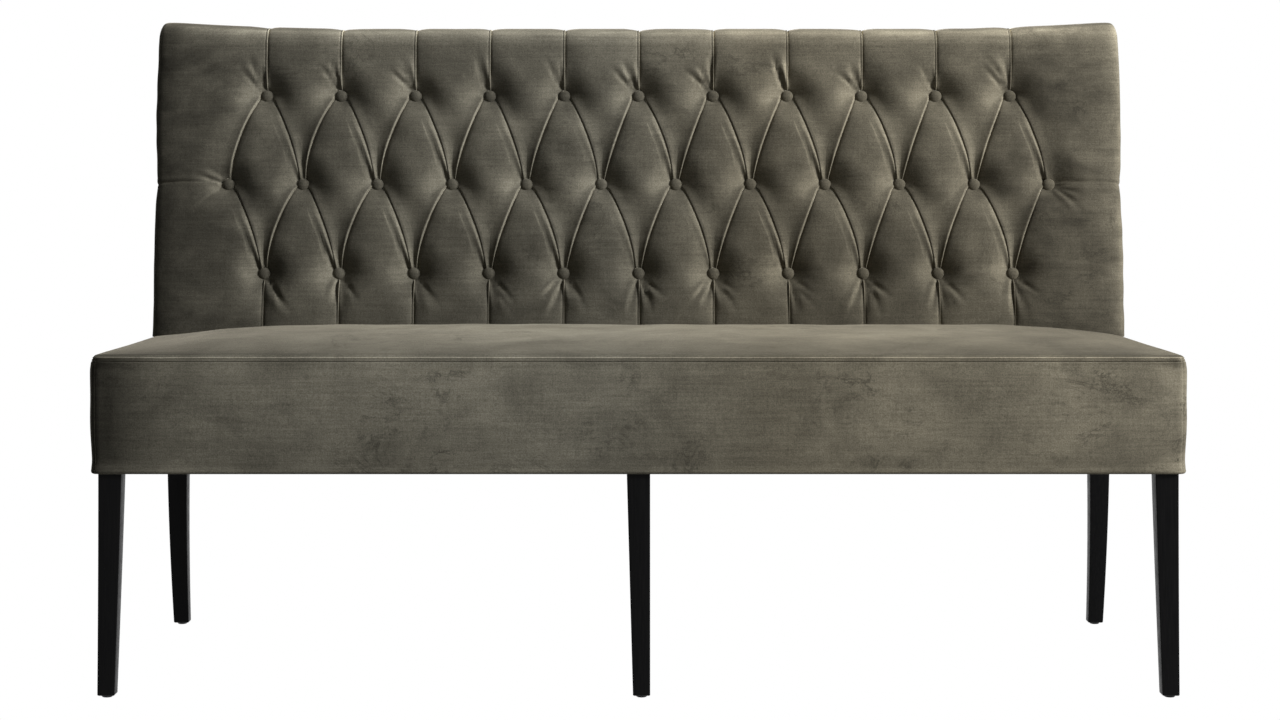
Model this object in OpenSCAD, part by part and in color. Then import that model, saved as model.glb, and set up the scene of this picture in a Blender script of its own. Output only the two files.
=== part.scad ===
// Upholstered dining bench with a deep-buttoned back, on six tapered legs.
// Millimetres. X runs along the bench, Y from front to back and Z up.
// The origin is on the floor, under the middle of the bench.

/* [Seat box] */
// Length of the seat over its covers
bench_w = 1600; // [1200:10:2200]
// Depth of the seat from its front face to the back cushion
seat_d = 440; // [380:5:520]
// Height of the underside of the seat box above the floor
clear_h = 325; // [240:5:380]
// Height of the border around the seat box
border_h = 169.5; // [150:0.5:220]
// How far the top of the seat swells above its border
crown_h = 22.5; // [8:0.5:35]
// Width of the rounded side margin of the crown
crown_side = 310; // [120:5:400]
// Width of the rounded front margin of the crown
crown_front = 190; // [60:5:260]
// Thickness of cover and wadding over the front rail
front_pad = 10; // [8:0.5:16]
// Thickness of cover and wadding over a side rail where the border is fullest
side_pad = 14; // [13:0.5:20]
// How far the borders draw in at their top and bottom edges
draw_in = 6; // [2:0.5:7]
// Height of the sewn lip around the top panel
lip_h = 2; // [1:0.5:4]

/* [Back] */
// Height of the middle of the top edge above the floor
back_h = 1006; // [900:2:1150]
// How far the top corners rise above the middle of the top edge
corner_rise = 12; // [0:0.5:25]
// Lean of the back in degrees
lean = 6.5; // [3:0.5:12]
// How far the sides of the back swell past the side borders
back_puff = 4; // [0:0.5:8]
// Thickness of the foam behind the cover
back_foam_t = 40; // [25:1:60]
// Height of the tufts from the foam to their crowns
tuft_h = 27; // [18:1:40]
// Thickness of the cover where it wraps over the top edge
top_pad = 12; // [8:0.5:20]
// Thickness of the board and cover that close the back
outside_t = 4.7; // [3:0.1:8]

/* [Buttoning] */
// Distance between buttons in a row
button_pitch = 123.4; // [100:0.2:150]
// Distance from the top row of buttons to the top edge
top_margin = 113.5; // [90:0.5:150]
// Distance from the bottom row of buttons to the top of the seat
bottom_margin = 83.7; // [60:0.1:110]
// Diameter of a covered button
button_d = 22; // [16:0.5:28]
// Thickness of a covered button
button_h = 8; // [5:0.5:10]
// Depth of the cover at a button below the crowns
button_depth = 31; // [22:0.5:44]
// Depth of the pleats half way between two buttons
pleat_depth = 13; // [6:0.5:18]
// Diameter of the button twine
twine_d = 2; // [1.2:0.1:3]
// Diameter of the washer that a twine is tied to
washer_d = 16; // [12:0.5:22]

/* [Legs] */
// Width of a leg at the seat box
leg_w_top = 34; // [28:0.5:50]
// Width of a leg at its foot
leg_w_foot = 25; // [18:0.5:34]
// Depth of a leg at the seat box
leg_d_top = 30; // [26:0.5:40]
// Depth of a leg at its foot
leg_d_foot = 22; // [16:0.5:30]
// How far a front foot sweeps forward
front_sweep = 8; // [0:0.5:9]
// How far a rear foot sweeps backward
rear_sweep = 55; // [20:1:58]
// Bevel around a foot
foot_bevel = 1.5; // [0.5:0.5:3]
// Diameter of a glide
glide_d = 16; // [10:0.5:20]
// Thickness of a glide
glide_h = 3; // [2:0.5:6]
// Length of the pin of a glide
glide_pin = 12; // [8:1:20]
// Diameter of the pin of a glide
glide_pin_d = 2; // [1.5:0.1:3]

/* [Frame] */
// Thickness of the seat rails
rail_t = 25; // [20:1:32]
// Height of the seat rails
rail_h = 99; // [80:1:120]
// How far the top of the cross rail lies below the webbing
cross_drop = 24; // [15:1:40]
// Width of the rear uprights above the legs
upright_w = 60; // [45:1:80]
// Height of the rails of the back
back_rail_h = 60; // [40:1:90]
// Width of the studs of the back
stud_w = 36; // [25:1:40]
// Thickness of the plywood panel
panel_t = 9; // [6:0.5:15]
// Length of the corner blocks along each rail
block_l = 70; // [55:1:100]
// Diameter of the bolts
bolt_d = 8; // [6:0.5:10]
// Diameter of the dowels
dowel_d = 8; // [6:0.5:10]
// Length of the dowels
dowel_l = 34; // [24:1:44]

/* [Suspension] */
// Width of a webbing strap
strap_w = 60; // [40:1:80]
// Thickness of a webbing strap
strap_t = 2; // [1.2:0.1:3]
// Number of straps from front to back
strap_n = 12; // [8:1:16]
// Number of straps woven through them lengthwise
long_strap_n = 3; // [2:1:4]

/* [Hidden] */

velvet = [0.37, 0.345, 0.295];
velvet_dark = [0.30, 0.28, 0.24];
black_lacquer = [0.06, 0.06, 0.065];
beech = [0.80, 0.66, 0.47];
plywood = [0.86, 0.74, 0.55];
foam_cream = [0.93, 0.89, 0.72];
webbing_grey = [0.50, 0.47, 0.42];
steel = [0.62, 0.63, 0.65];
cloth_black = [0.12, 0.12, 0.12];
twine_white = [0.90, 0.88, 0.82];

fit = 0.3;        // clearance between neighbours
bore_fit = 0.2;   // clearance on the diameter of a bolt or dowel bore
arc_steps = 12;   // straight pieces in a drawn curve
eps = 1;          // how far a cutting tool runs past a face

// Seat box
half_w = bench_w / 2;
frame_half = half_w - side_pad;
seam_z = clear_h + border_h;
rail_top = clear_h + rail_h;
seam_out = 2.5;   // the corner seams stand this far outside the frame
corner_seam_x = frame_half + seam_out;
rail_y1 = front_pad + rail_t;

// The back turns about the kink in the front face of the uprights, where their rake starts
kink_rise = 16;
kink_z = rail_top + kink_rise;
cushion_t = panel_t + back_foam_t + tuft_h;
seat_z = seam_z + crown_h;
post_y = seat_d + cushion_t / cos(lean) - (seat_z - kink_z) * tan(lean);
post_back = leg_d_top;
back_l = (back_h - kink_z - cushion_t * sin(lean)) / cos(lean);
frame_top = back_l - top_pad - fit;
sill = 54;          // lower edge of the back frame, along the rake
outside_drop = 6;   // the outside back stops this far below the top edge
rear_y = post_y + post_back;

// Overall depth, from the front border to the top of the outside back
bench_d = post_y + (post_back + fit + outside_t) * cos(lean) + (back_l - outside_drop) * sin(lean);

// Rows and columns of buttons: top and bottom rows have one more than an even number
side_buttons = floor(half_w / button_pitch - 0.9);
foam_front = -(panel_t + back_foam_t);
crown_front_y = foam_front - tuft_h;
top_row = back_l - top_margin;
bottom_row = along_rake(crown_front_y, seat_z) + bottom_margin;
row_pitch = (top_row - bottom_row) / 2;
rows = [bottom_row, bottom_row + row_pitch, top_row];
button_places = concat(
    [for (k = [-side_buttons:side_buttons]) [k * button_pitch, rows[0]]],
    [for (k = [-side_buttons - 1:side_buttons]) [(k + 0.5) * button_pitch, rows[1]]],
    [for (k = [-side_buttons:side_buttons]) [k * button_pitch, rows[2]]]
);
// The back of a button sits this share of its full depth below the crowns
button_sink = 0.62;
button_back = crown_front_y + button_depth * button_sink;

// Shifts the workshop frame, where the front face is at y = 0, to the middle of the bench
module centred() translate([0, -bench_d / 2, 0]) children();

// Lays its children in the raked frame of the back: y from the uprights' front face, z along the rake
module raked() translate([0, post_y, kink_z]) rotate([-lean, 0, 0]) children();

// A block between two corners
module block(a, b) translate(a) cube(b - a);

function clamp(v, lo = 0, hi = 1) = max(lo, min(hi, v));
function tilt(y, z) = [post_y + y * cos(lean) + z * sin(lean), kink_z - y * sin(lean) + z * cos(lean)];
// Distance along the rake at which depth y reaches world height z
function along_rake(y, z) = (z - kink_z + y * sin(lean)) / cos(lean);

// A closed skin over a list of rings with the same number of points each, its ends fanned from the
// first point. Where rising(i, j) holds, the square at ring i and point j is split along its other diagonal.
module loft(rings, rising = function (i, j) false) {
    n = len(rings[0]);
    last = len(rings) - 1;
    points = [for (ring = rings, p = ring) p];
    sides = [for (i = [0:last - 1], j = [0:n - 1])
        let (a = i * n + j, b = i * n + (j + 1) % n, c = a + n, d = b + n)
        each rising(i, j) ? [[a, b, d], [a, d, c]] : [[a, b, c], [b, d, c]]];
    start = [for (j = [1:n - 2]) [0, j + 1, j]];
    end = [for (j = [1:n - 2]) [last * n, last * n + j, last * n + j + 1]];
    polyhedron(points = points, faces = concat(sides, start, end), convexity = 8);
}

// Legs

leg_bend = 1.7;   // the sweep of a leg gathers towards its foot by this power
function sweep_at(t, sweep) = sweep * pow(1 - t, leg_bend);
function depth_at(t) = leg_d_foot + (leg_d_top - leg_d_foot) * t;

// Side outline of a leg from foot to seat box, as [y, z]; sweep is negative towards the front
function leg_front_edge(y, sweep) = [for (i = [0:arc_steps])
    let (t = i / arc_steps) [y + sweep_at(t, sweep), glide_h + t * (clear_h - glide_h)]];
function leg_back_edge(y, sweep) = [for (i = [0:arc_steps])
    let (t = i / arc_steps) [y + sweep_at(t, sweep) + depth_at(t), glide_h + t * (clear_h - glide_h)]];
function reversed(list) = [for (i = [len(list) - 1:-1:0]) list[i]];

// The foot is bevelled all round in both outlines
function bevelled(front, back) = concat(
    [[back[0][0] - foot_bevel, back[0][1]], [front[0][0] + foot_bevel, front[0][1]]],
    [[front[0][0], front[0][1] + foot_bevel]], [for (i = [1:len(front) - 1]) front[i]]
);
function bevelled_back(back) = concat(
    [for (i = [len(back) - 1:-1:1]) back[i]], [[back[0][0], back[0][1] + foot_bevel]]
);

// Front outline of a leg with its outer edge upright at x = 0 and its inner edge tapered towards +x
module leg_face(top_w, top_z) {
    polygon([
        [foot_bevel, glide_h], [leg_w_foot - foot_bevel, glide_h], [leg_w_foot, glide_h + foot_bevel],
        [leg_w_top, clear_h], [top_w, clear_h], [top_w, top_z], [0, top_z], [0, glide_h + foot_bevel]
    ]);
}

// A leg whose side outline is its child; its outer edge is at x = 0
module tapered_leg(top_w, top_z) {
    intersection() {
        rotate([90, 0, 90]) linear_extrude(max(top_w, leg_w_top)) children();
        translate([0, bench_d, 0]) rotate([90, 0, 0]) linear_extrude(bench_d + 2 * leg_d_top)
            leg_face(top_w, top_z);
    }
}

module glide_bore(y) {
    translate([leg_w_foot / 2, y, glide_h - eps])
        cylinder(d = glide_pin_d + bore_fit, h = glide_pin + 2 * eps, $fn = 32);
}

front_foot_y = front_pad - front_sweep + leg_d_foot / 2;
rear_foot_y = post_y + rear_sweep + leg_d_foot / 2;

// Front corner leg for the left end: it runs on between the rails up to their top
module front_leg_body() {
    difference() {
        translate([-frame_half, 0, 0]) tapered_leg(leg_w_top, rail_top)
            polygon(concat(
                bevelled(leg_front_edge(front_pad, -front_sweep), leg_back_edge(front_pad, -front_sweep)),
                [[front_pad, rail_top], [front_pad + leg_d_top, rail_top]],
                bevelled_back(leg_back_edge(front_pad, -front_sweep))
            ));
        translate([-frame_half, 0, 0]) glide_bore(front_foot_y);
        front_dowels(bore_fit);
        corner_bolt(bore_fit);
    }
}

module leg_front_left() color(black_lacquer) centred() front_leg_body();
module leg_front_right() color(black_lacquer) centred() mirror([1, 0, 0]) front_leg_body();

// The centre leg stands under the front rail, held by an upright bolt
module leg_front_centre() {
    color(black_lacquer) centred() difference() {
        translate([leg_w_top / 2, 0, 0]) mirror([1, 0, 0]) tapered_leg(leg_w_top, clear_h)
            polygon(concat(
                bevelled(leg_front_edge(front_pad, -front_sweep), leg_back_edge(front_pad, -front_sweep)),
                bevelled_back(leg_back_edge(front_pad, -front_sweep))
            ));
        translate([leg_w_top / 2, 0, 0]) mirror([1, 0, 0]) glide_bore(front_foot_y);
        centre_bolt(bore_fit);
    }
}

// Side outline of a rear leg that runs on up as a back post, vertical at the seat rail and raked above it
module upright_outline(top) {
    front = leg_front_edge(post_y, rear_sweep);
    back = leg_back_edge(post_y, rear_sweep);
    polygon(concat(
        bevelled(front, back),
        [[post_y, kink_z], tilt(0, top), tilt(post_back, top)],
        [[post_y + post_back, kink_z - post_back * tan(lean / 2)]],
        bevelled_back(back)
    ));
}

// Half lap that takes a back rail into the front of an upright
module rail_lap(z0) {
    raked() block(
        [-bench_w, -eps, z0 - bore_fit / 2],
        [bench_w, post_back / 2 + bore_fit / 2, z0 + back_rail_h + bore_fit / 2]
    );
}

module rear_leg_body() {
    difference() {
        translate([-frame_half, 0, 0]) tapered_leg(upright_w, back_h) upright_outline(frame_top);
        translate([-frame_half, 0, 0]) glide_bore(rear_foot_y);
        rail_lap(sill);
        rail_lap(frame_top - back_rail_h);
        side_bolts(bore_fit);
        rear_dowels(bore_fit);
    }
}

module leg_rear_left() color(black_lacquer) centred() rear_leg_body();
module leg_rear_right() color(black_lacquer) centred() mirror([1, 0, 0]) rear_leg_body();

// The centre one stops at the top of the lower back rail
module leg_rear_centre() {
    color(black_lacquer) centred() difference() {
        intersection() {
            translate([leg_w_top / 2, 0, 0]) mirror([1, 0, 0]) tapered_leg(leg_w_top, back_h)
                upright_outline(sill + back_rail_h);
            block([-bench_w, 0, 0], [bench_w, bench_d, back_h]);
        }
        translate([leg_w_top / 2, 0, 0]) mirror([1, 0, 0]) glide_bore(rear_foot_y);
        rail_lap(sill);
        middle_bolts(bore_fit);
    }
}

// A nail-on glide under each foot, with its lower edge bevelled
module glide(x, y) {
    edge = 1;
    r = glide_d / 2;
    translate([x, y, 0]) {
        rotate_extrude($fn = 48)
            polygon([[0, 0], [r - edge, 0], [r, edge], [r, glide_h], [0, glide_h]]);
        cylinder(d = glide_pin_d, h = glide_h + glide_pin, $fn = 32);
    }
}

module leg_glides() {
    color(steel) centred() {
        for (side = [-1, 1]) {
            glide(side * (frame_half - leg_w_foot / 2), front_foot_y);
            glide(side * (frame_half - leg_w_foot / 2), rear_foot_y);
        }
        glide(leg_w_top / 2 - leg_w_foot / 2, front_foot_y);
        glide(leg_w_top / 2 - leg_w_foot / 2, rear_foot_y);
    }
}

// Fasteners of the seat frame. Each is drawn once and serves as the solid and, with play, as its bore.

bolt_z = clear_h + rail_h / 2;
nut_h = 6;
nut_af = bolt_d * 1.6;   // width of a nut across its flats
nut_washer_t = 1.5;
nut_washer_d = bolt_d * 2;
thread_past = nut_h + nut_washer_t + 1.5;   // a bolt runs on this far past the wood
block_corner_x = frame_half - rail_t - fit;
block_corner_y = rail_y1 + fit;
bolt_reach = block_l / sqrt(2);
leg_bite = 22;   // how far a corner bolt goes past the block into the leg

// A nut on its washer, with its flat side down
module nut() {
    difference() {
        union() {
            cylinder(d = nut_washer_d, h = nut_washer_t, $fn = 48);
            cylinder(d = nut_af / cos(30), h = nut_washer_t + nut_h, $fn = 6);
        }
        translate([0, 0, -eps])
            cylinder(d = bolt_d + bore_fit, h = nut_washer_t + nut_h + 2 * eps, $fn = 48);
    }
}

// Bolt at 45 degrees from the corner block into the left front leg
module corner_bolt(play = 0) {
    translate([-block_corner_x, block_corner_y, bolt_z]) rotate([0, 0, 45])
        translate([-leg_bite, 0, 0]) rotate([0, 90, 0])
            cylinder(d = bolt_d + play, h = leg_bite + bolt_reach + thread_past, $fn = 48);
}

module corner_nut() {
    translate([-block_corner_x, block_corner_y, bolt_z]) rotate([0, 0, 45])
        translate([bolt_reach + fit, 0, 0]) rotate([0, 90, 0]) nut();
}

// Upright bolt between the centre leg and the front rail
centre_bolt_up = 45;
centre_bolt_down = 40;
module centre_bolt(play = 0) {
    translate([0, front_pad + rail_t / 2, clear_h - centre_bolt_down])
        cylinder(d = bolt_d + play, h = centre_bolt_up + centre_bolt_down, $fn = 48);
}

module leg_bolts() {
    color(steel) centred() {
        corner_bolt();
        mirror([1, 0, 0]) corner_bolt();
        centre_bolt();
    }
}

module leg_bolt_nuts() {
    color(steel) centred() {
        corner_nut();
        mirror([1, 0, 0]) corner_nut();
    }
}

// Carriage bolts from the uprights through the rear rail
rear_rail_y = post_y - rail_t;
head_h = 4;
head_d = bolt_d * 2.4;
bolt_rows = [clear_h + rail_h * 0.28, clear_h + rail_h * 0.72];
bolt_edge = 16;   // from the inner edge of an upright to its bolts
side_bolt_x = frame_half - upright_w + bolt_edge;
middle_bolt_x = 0;

// The head is let into the back of the upright; with play, its recess runs out through that face
module carriage_bolt(x, z, play = 0) {
    recess = play > 0 ? fit + eps : 0;
    translate([x, rear_y - head_h - fit, z]) rotate([90, 0, 0]) {
        cylinder(d = bolt_d + play, h = post_back - head_h + rail_t + thread_past, $fn = 48);
        translate([0, 0, -head_h - recess]) cylinder(d = head_d + play, h = head_h + recess, $fn = 48);
    }
}

module carriage_nut(x, z) translate([x, rear_rail_y - fit, z]) rotate([90, 0, 0]) nut();

module side_bolts(play = 0) for (z = bolt_rows) carriage_bolt(-side_bolt_x, z, play);
module middle_bolts(play = 0) for (z = bolt_rows) carriage_bolt(middle_bolt_x, z, play);

module rear_rail_bolts() {
    color(steel) centred() {
        side_bolts();
        mirror([1, 0, 0]) side_bolts();
        middle_bolts();
    }
}

module rear_rail_nuts() {
    color(steel) centred() for (z = bolt_rows) {
        for (x = [-side_bolt_x, side_bolt_x]) carriage_nut(x, z);
        carriage_nut(middle_bolt_x, z);
    }
}

// Dowels of the left end, staggered in height where two rails meet in one leg
front_dowel_rows = [clear_h + rail_h * 0.15, clear_h + rail_h * 0.70];
side_dowel_rows = [clear_h + rail_h * 0.32, clear_h + rail_h * 0.86];

module front_dowels(play = 0) {
    for (z = front_dowel_rows) translate([-frame_half + leg_w_top - dowel_l / 2, front_pad + rail_t / 2, z])
        rotate([0, 90, 0]) cylinder(d = dowel_d + play, h = dowel_l, $fn = 48);
    for (z = side_dowel_rows) translate([-frame_half + rail_t / 2, front_pad + leg_d_top - dowel_l / 2, z])
        rotate([-90, 0, 0]) cylinder(d = dowel_d + play, h = dowel_l, $fn = 48);
}

module rear_dowels(play = 0) {
    for (z = side_dowel_rows) translate([-frame_half + rail_t / 2, post_y - dowel_l / 2, z])
        rotate([-90, 0, 0]) cylinder(d = dowel_d + play, h = dowel_l, $fn = 48);
}

module seat_rail_dowels() {
    color(beech) centred() {
        front_dowels();
        mirror([1, 0, 0]) front_dowels();
        rear_dowels();
        mirror([1, 0, 0]) rear_dowels();
    }
}

// Seat frame

module seat_front_rail() {
    color(beech) centred() difference() {
        block(
            [-frame_half + leg_w_top, front_pad, clear_h],
            [frame_half - leg_w_top, rail_y1, rail_top]
        );
        front_dowels(bore_fit);
        mirror([1, 0, 0]) front_dowels(bore_fit);
        centre_bolt(bore_fit);
    }
}

module seat_rear_rail() {
    color(beech) centred() difference() {
        block([-frame_half + rail_t, rear_rail_y, clear_h], [frame_half - rail_t, post_y, rail_top]);
        side_bolts(bore_fit);
        mirror([1, 0, 0]) side_bolts(bore_fit);
        middle_bolts(bore_fit);
    }
}

module side_rail() {
    difference() {
        block([-frame_half, front_pad + leg_d_top, clear_h], [-frame_half + rail_t, post_y, rail_top]);
        front_dowels(bore_fit);
        rear_dowels(bore_fit);
    }
}

module seat_left_rail() color(beech) centred() side_rail();
module seat_right_rail() color(beech) centred() mirror([1, 0, 0]) side_rail();

// The cross rail is notched over the nuts of the centre upright
module seat_cross_rail() {
    color(beech) centred() difference() {
        block([-rail_t / 2, rail_y1, clear_h], [rail_t / 2, rear_rail_y, rail_top - cross_drop]);
        for (z = bolt_rows) translate([0, rear_rail_y + eps, z]) rotate([90, 0, 0])
            cylinder(d = nut_washer_d + 2 * eps, h = thread_past + 2 * eps, $fn = 48);
    }
}

// Triangular block in a front corner, notched around the leg, its long face square to the bolt
module corner_block() {
    leg_x = frame_half - leg_w_top - fit;
    leg_y = front_pad + leg_d_top + fit;
    top_gap = 4;
    difference() {
        translate([0, 0, clear_h]) linear_extrude(rail_h - top_gap) polygon([
            [-block_corner_x + block_l, block_corner_y], [-leg_x, block_corner_y], [-leg_x, leg_y],
            [-block_corner_x, leg_y], [-block_corner_x, block_corner_y + block_l]
        ]);
        corner_bolt(bore_fit);
    }
}

module seat_corner_blocks() {
    color(beech) centred() {
        corner_block();
        mirror([1, 0, 0]) corner_block();
    }
}

// Suspension: flat straps from rail to rail and lengthwise straps woven over and under them

strap_step = (bench_w - 2 * (side_pad + rail_t)) / strap_n;
function strap_x(j) = (j - (strap_n - 1) / 2) * strap_step;
long_step = (rear_rail_y - rail_y1) / (long_strap_n + 1);
weave_lift = strap_t + fit;
strap_bite = rail_t - 4;   // length of a strap's end on its rail
weave_run = 3;             // a strap levels out this far before it passes another

module seat_cross_straps() {
    color(webbing_grey) centred() for (j = [0:strap_n - 1])
        block(
            [strap_x(j) - strap_w / 2, rail_y1 - strap_bite, rail_top],
            [strap_x(j) + strap_w / 2, rear_rail_y + strap_bite, rail_top + strap_t]
        );
}

// Height of a lengthwise strap as it passes strap j
function weave_z(k, j) = rail_top + ((j + k) % 2 == 0 ? weave_lift : -weave_lift);
function weave_path(k) = concat(
    [[-frame_half + rail_t - strap_bite, rail_top], [-frame_half + rail_t, rail_top]],
    [for (j = [0:strap_n - 1]) each [
        [strap_x(j) - strap_w / 2 - weave_run, weave_z(k, j)],
        [strap_x(j) + strap_w / 2 + weave_run, weave_z(k, j)]
    ]],
    [[frame_half - rail_t, rail_top], [frame_half - rail_t + strap_bite, rail_top]]
);

module seat_long_straps() {
    color(webbing_grey) centred() for (k = [0:long_strap_n - 1]) {
        path = weave_path(k);
        translate([0, rail_y1 + (k + 1) * long_step + strap_w / 2, 0]) rotate([90, 0, 0])
            linear_extrude(strap_w) polygon(concat(
                path, [for (p = reversed(path)) [p[0], p[1] + strap_t]]
            ));
    }
}

// Seat foam, between the borders and up to the seam of the top panel
foam_z = rail_top + strap_t + weave_lift + fit;
module seat_foam() {
    color(foam_cream) centred() block(
        [-frame_half, front_pad, foam_z],
        [frame_half, rear_rail_y, seam_z - fit]
    );
}

// Seat covers

// How far a border stands in at height t, from 0 at its bottom to 1 at its top
function drawn(t, top_in, bottom_in) = let (peak = 0.62)
    t > peak ? top_in * pow((t - peak) / (1 - peak), 2) : bottom_in * pow((peak - t) / peak, 2);
side_top_in = draw_in + 3;

module seat_front_border() {
    color(velvet) centred() translate([-corner_seam_x + fit / 2, 0, 0]) rotate([90, 0, 90])
        linear_extrude(2 * corner_seam_x - fit) polygon(concat(
            [[front_pad - fit, clear_h]],
            [for (i = [0:arc_steps]) let (t = i / arc_steps)
                [drawn(t, draw_in / 2, draw_in / 2), clear_h + t * border_h]],
            [[front_pad - fit, seam_z]]
        ));
}

// Side border for the left end: its outline bulges, its front edge turns the corner to the seam,
// and its rear edge follows the uprights
module side_border() {
    corner_r = half_w - corner_seam_x;
    intersection() {
        translate([0, bench_d, 0]) rotate([90, 0, 0]) linear_extrude(bench_d + eps) polygon(concat(
            [for (i = [0:arc_steps]) let (t = i / arc_steps)
                [-half_w + drawn(t, side_top_in, draw_in), clear_h + t * border_h]],
            [[-frame_half - fit, seam_z], [-frame_half - fit, clear_h]]
        ));
        translate([0, 0, clear_h - eps]) linear_extrude(border_h + 2 * eps) polygon(concat(
            [[-corner_seam_x, front_pad - fit], [-corner_seam_x, 0]],
            [for (a = [15:15:75]) [-corner_seam_x - corner_r * sin(a), corner_r - corner_r * cos(a)]],
            [[-half_w - eps, corner_r], [-half_w - eps, bench_d], [-frame_half, bench_d],
                [-frame_half, front_pad - fit]]
        ));
        translate([-half_w - eps, 0, 0]) rotate([90, 0, 90]) linear_extrude(2 * side_pad) polygon([
            [-eps, clear_h], [rear_y, clear_h], [rear_y, kink_z - post_back * tan(lean / 2)],
            tilt(post_back, along_rake(post_back, seam_z)), [-eps, seam_z]
        ]);
    }
}

module seat_left_border() color(velvet) centred() side_border();
module seat_right_border() color(velvet) centred() mirror([1, 0, 0]) side_border();

// Crown of the top panel, as a share of its full height, across and from the front
top_half = half_w - side_top_in;
top_y0 = draw_in / 2;
front_roll = 2.4;   // the crown rolls down to the front edge by this power
function crown_x(x) = 1 - pow(clamp((abs(x) - (top_half - crown_side)) / crown_side), 2);
function crown_y(y) = 1 - pow(1 - clamp((y - top_y0) / crown_front), front_roll);
function crown_z(x, y) = seam_z + lip_h + (crown_h - lip_h) * crown_x(x) * crown_y(y);
// Depth of the front of the back cushion at world height z
function back_face(z) = tilt(crown_front_y, along_rake(crown_front_y, z))[0];
top_cols = 36;
top_rows = 14;
top_corner = 12;    // radius of the front corners
row_gather = 1.6;   // rows lie closer together towards the front by this power

// Columns lie closer together towards the sides, where the crown turns down
function top_x(i) = top_half * sin(180 * i / top_cols - 90);
function past_corner(x) = max(0, abs(x) - (top_half - top_corner));
function top_front(x) = top_y0 + top_corner - sqrt(max(0, pow(top_corner, 2) - pow(past_corner(x), 2)));
function top_y(x, j) =
    let (share = pow(j / (top_rows - 1), row_gather))
    top_front(x) * (1 - share) + (back_face(seat_z) - fit) * share;

module seat_top_cover() {
    color(velvet) centred() loft([for (i = [0:top_cols]) let (x = top_x(i)) concat(
        [[x, back_face(seam_z) - fit, seam_z], [x, top_front(x), seam_z]],
        [for (j = [0:top_rows - 1]) let (y = top_y(x, j)) [x, y, crown_z(x, y)]]
    )]);
}

// Thin cloth under the seat box, cut out around the legs
module seat_dust_cloth() {
    cloth_t = 0.8;
    hem = 16;
    play = 2;
    color(cloth_black) centred() difference() {
        block(
            [-frame_half + hem, front_pad + hem, clear_h - cloth_t],
            [frame_half - hem, post_y + hem, clear_h]
        );
        for (side = [-1, 1]) {
            at_x = side * (frame_half - leg_w_top / 2);
            block(
                [at_x - leg_w_top / 2 - play, 0, 0],
                [at_x + leg_w_top / 2 + play, front_pad + leg_d_top + play, seam_z]
            );
            block([at_x - leg_w_top / 2 - play, post_y - play, 0], [at_x + leg_w_top, bench_d, seam_z]);
        }
        block(
            [-leg_w_top / 2 - play, 0, 0],
            [leg_w_top / 2 + play, front_pad + leg_d_top + play, seam_z]
        );
        block([-leg_w_top / 2 - play, post_y - play, 0], [leg_w_top / 2 + play, bench_d, seam_z]);
    }
}

// Frame of the back

// A rail along the back, halved where it crosses an upright
module back_rail(z0, centre_lap) {
    raked() difference() {
        block([-frame_half, 0, z0], [frame_half, post_back, z0 + back_rail_h]);
        for (side = [-1, 1]) {
            at_x = side * (frame_half - upright_w / 2);
            block(
                [at_x - upright_w / 2 - fit, post_back / 2 - bore_fit / 2, z0 - eps],
                [at_x + upright_w / 2 + fit, post_back + eps, z0 + back_rail_h + eps]
            );
        }
        if (centre_lap) block(
            [-leg_w_top / 2 - fit, post_back / 2 - bore_fit / 2, z0 - eps],
            [leg_w_top / 2 + fit, post_back + eps, z0 + back_rail_h + eps]
        );
    }
}

module back_top_rail() color(beech) centred() back_rail(frame_top - back_rail_h, false);
module back_lower_rail() color(beech) centred() back_rail(sill, true);

// Studs stand between the button columns, so that no twine meets them
stud_column = floor(side_buttons / 2) + 0.25;
stud_x = stud_column * button_pitch;
module stud() {
    raked() block(
        [-stud_x - stud_w / 2, 0, sill + back_rail_h],
        [-stud_x + stud_w / 2, post_back, frame_top - back_rail_h]
    );
}

module back_left_stud() color(beech) centred() stud();
module back_right_stud() color(beech) centred() mirror([1, 0, 0]) stud();

panel_bore_d = twine_d * 2.5;
foam_bore_d = button_d * 0.9;
module at_buttons() for (p = button_places) translate([p[0], 0, p[1]]) rotate([90, 0, 0]) children();

module back_panel() {
    color(plywood) centred() raked() difference() {
        block([-frame_half, -panel_t, sill], [frame_half, 0, frame_top]);
        translate([0, eps, 0]) at_buttons() cylinder(d = panel_bore_d, h = panel_t + 2 * eps, $fn = 32);
    }
}

module back_foam() {
    color(foam_cream) centred() raked() difference() {
        block([-frame_half, foam_front + fit, sill], [frame_half, -panel_t - fit / 2, frame_top]);
        translate([0, -panel_t + eps, 0]) at_buttons()
            cylinder(d = foam_bore_d, h = back_foam_t + 2 * eps, $fn = 48);
    }
}

// Tufted cover. x and v are counted in button pitches and row steps from the bottom row.

// Half width, in pitches, of the buttoned field at row step v
function field_half(v) = side_buttons + 0.5 * (1 - abs(clamp(v, 0, 2) - 1));
// Tuft depth: deepest at the buttons, shallower along the pleats, nothing at the crowns. Beyond the
// outer rows, by out row steps, the pleats run straight up or down and grow shallow.
pleat_fade = 0.6;    // share of its depth that a pleat loses over as many row steps
dimple_fade = 0.3;   // a button's dimple ends this many row steps out
function tufted(x, v, out) =
    let (s = abs(sin(180 * (x + v / 2))), t = abs(sin(180 * (x - v / 2))))
    pleat_depth * (1 - sqrt(s * t)) * (1 - pleat_fade * clamp(out / pleat_fade))
    + (button_depth - pleat_depth) * (1 - s) * (1 - t) * pow(clamp(1 - out / dimple_fade), 2);
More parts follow.
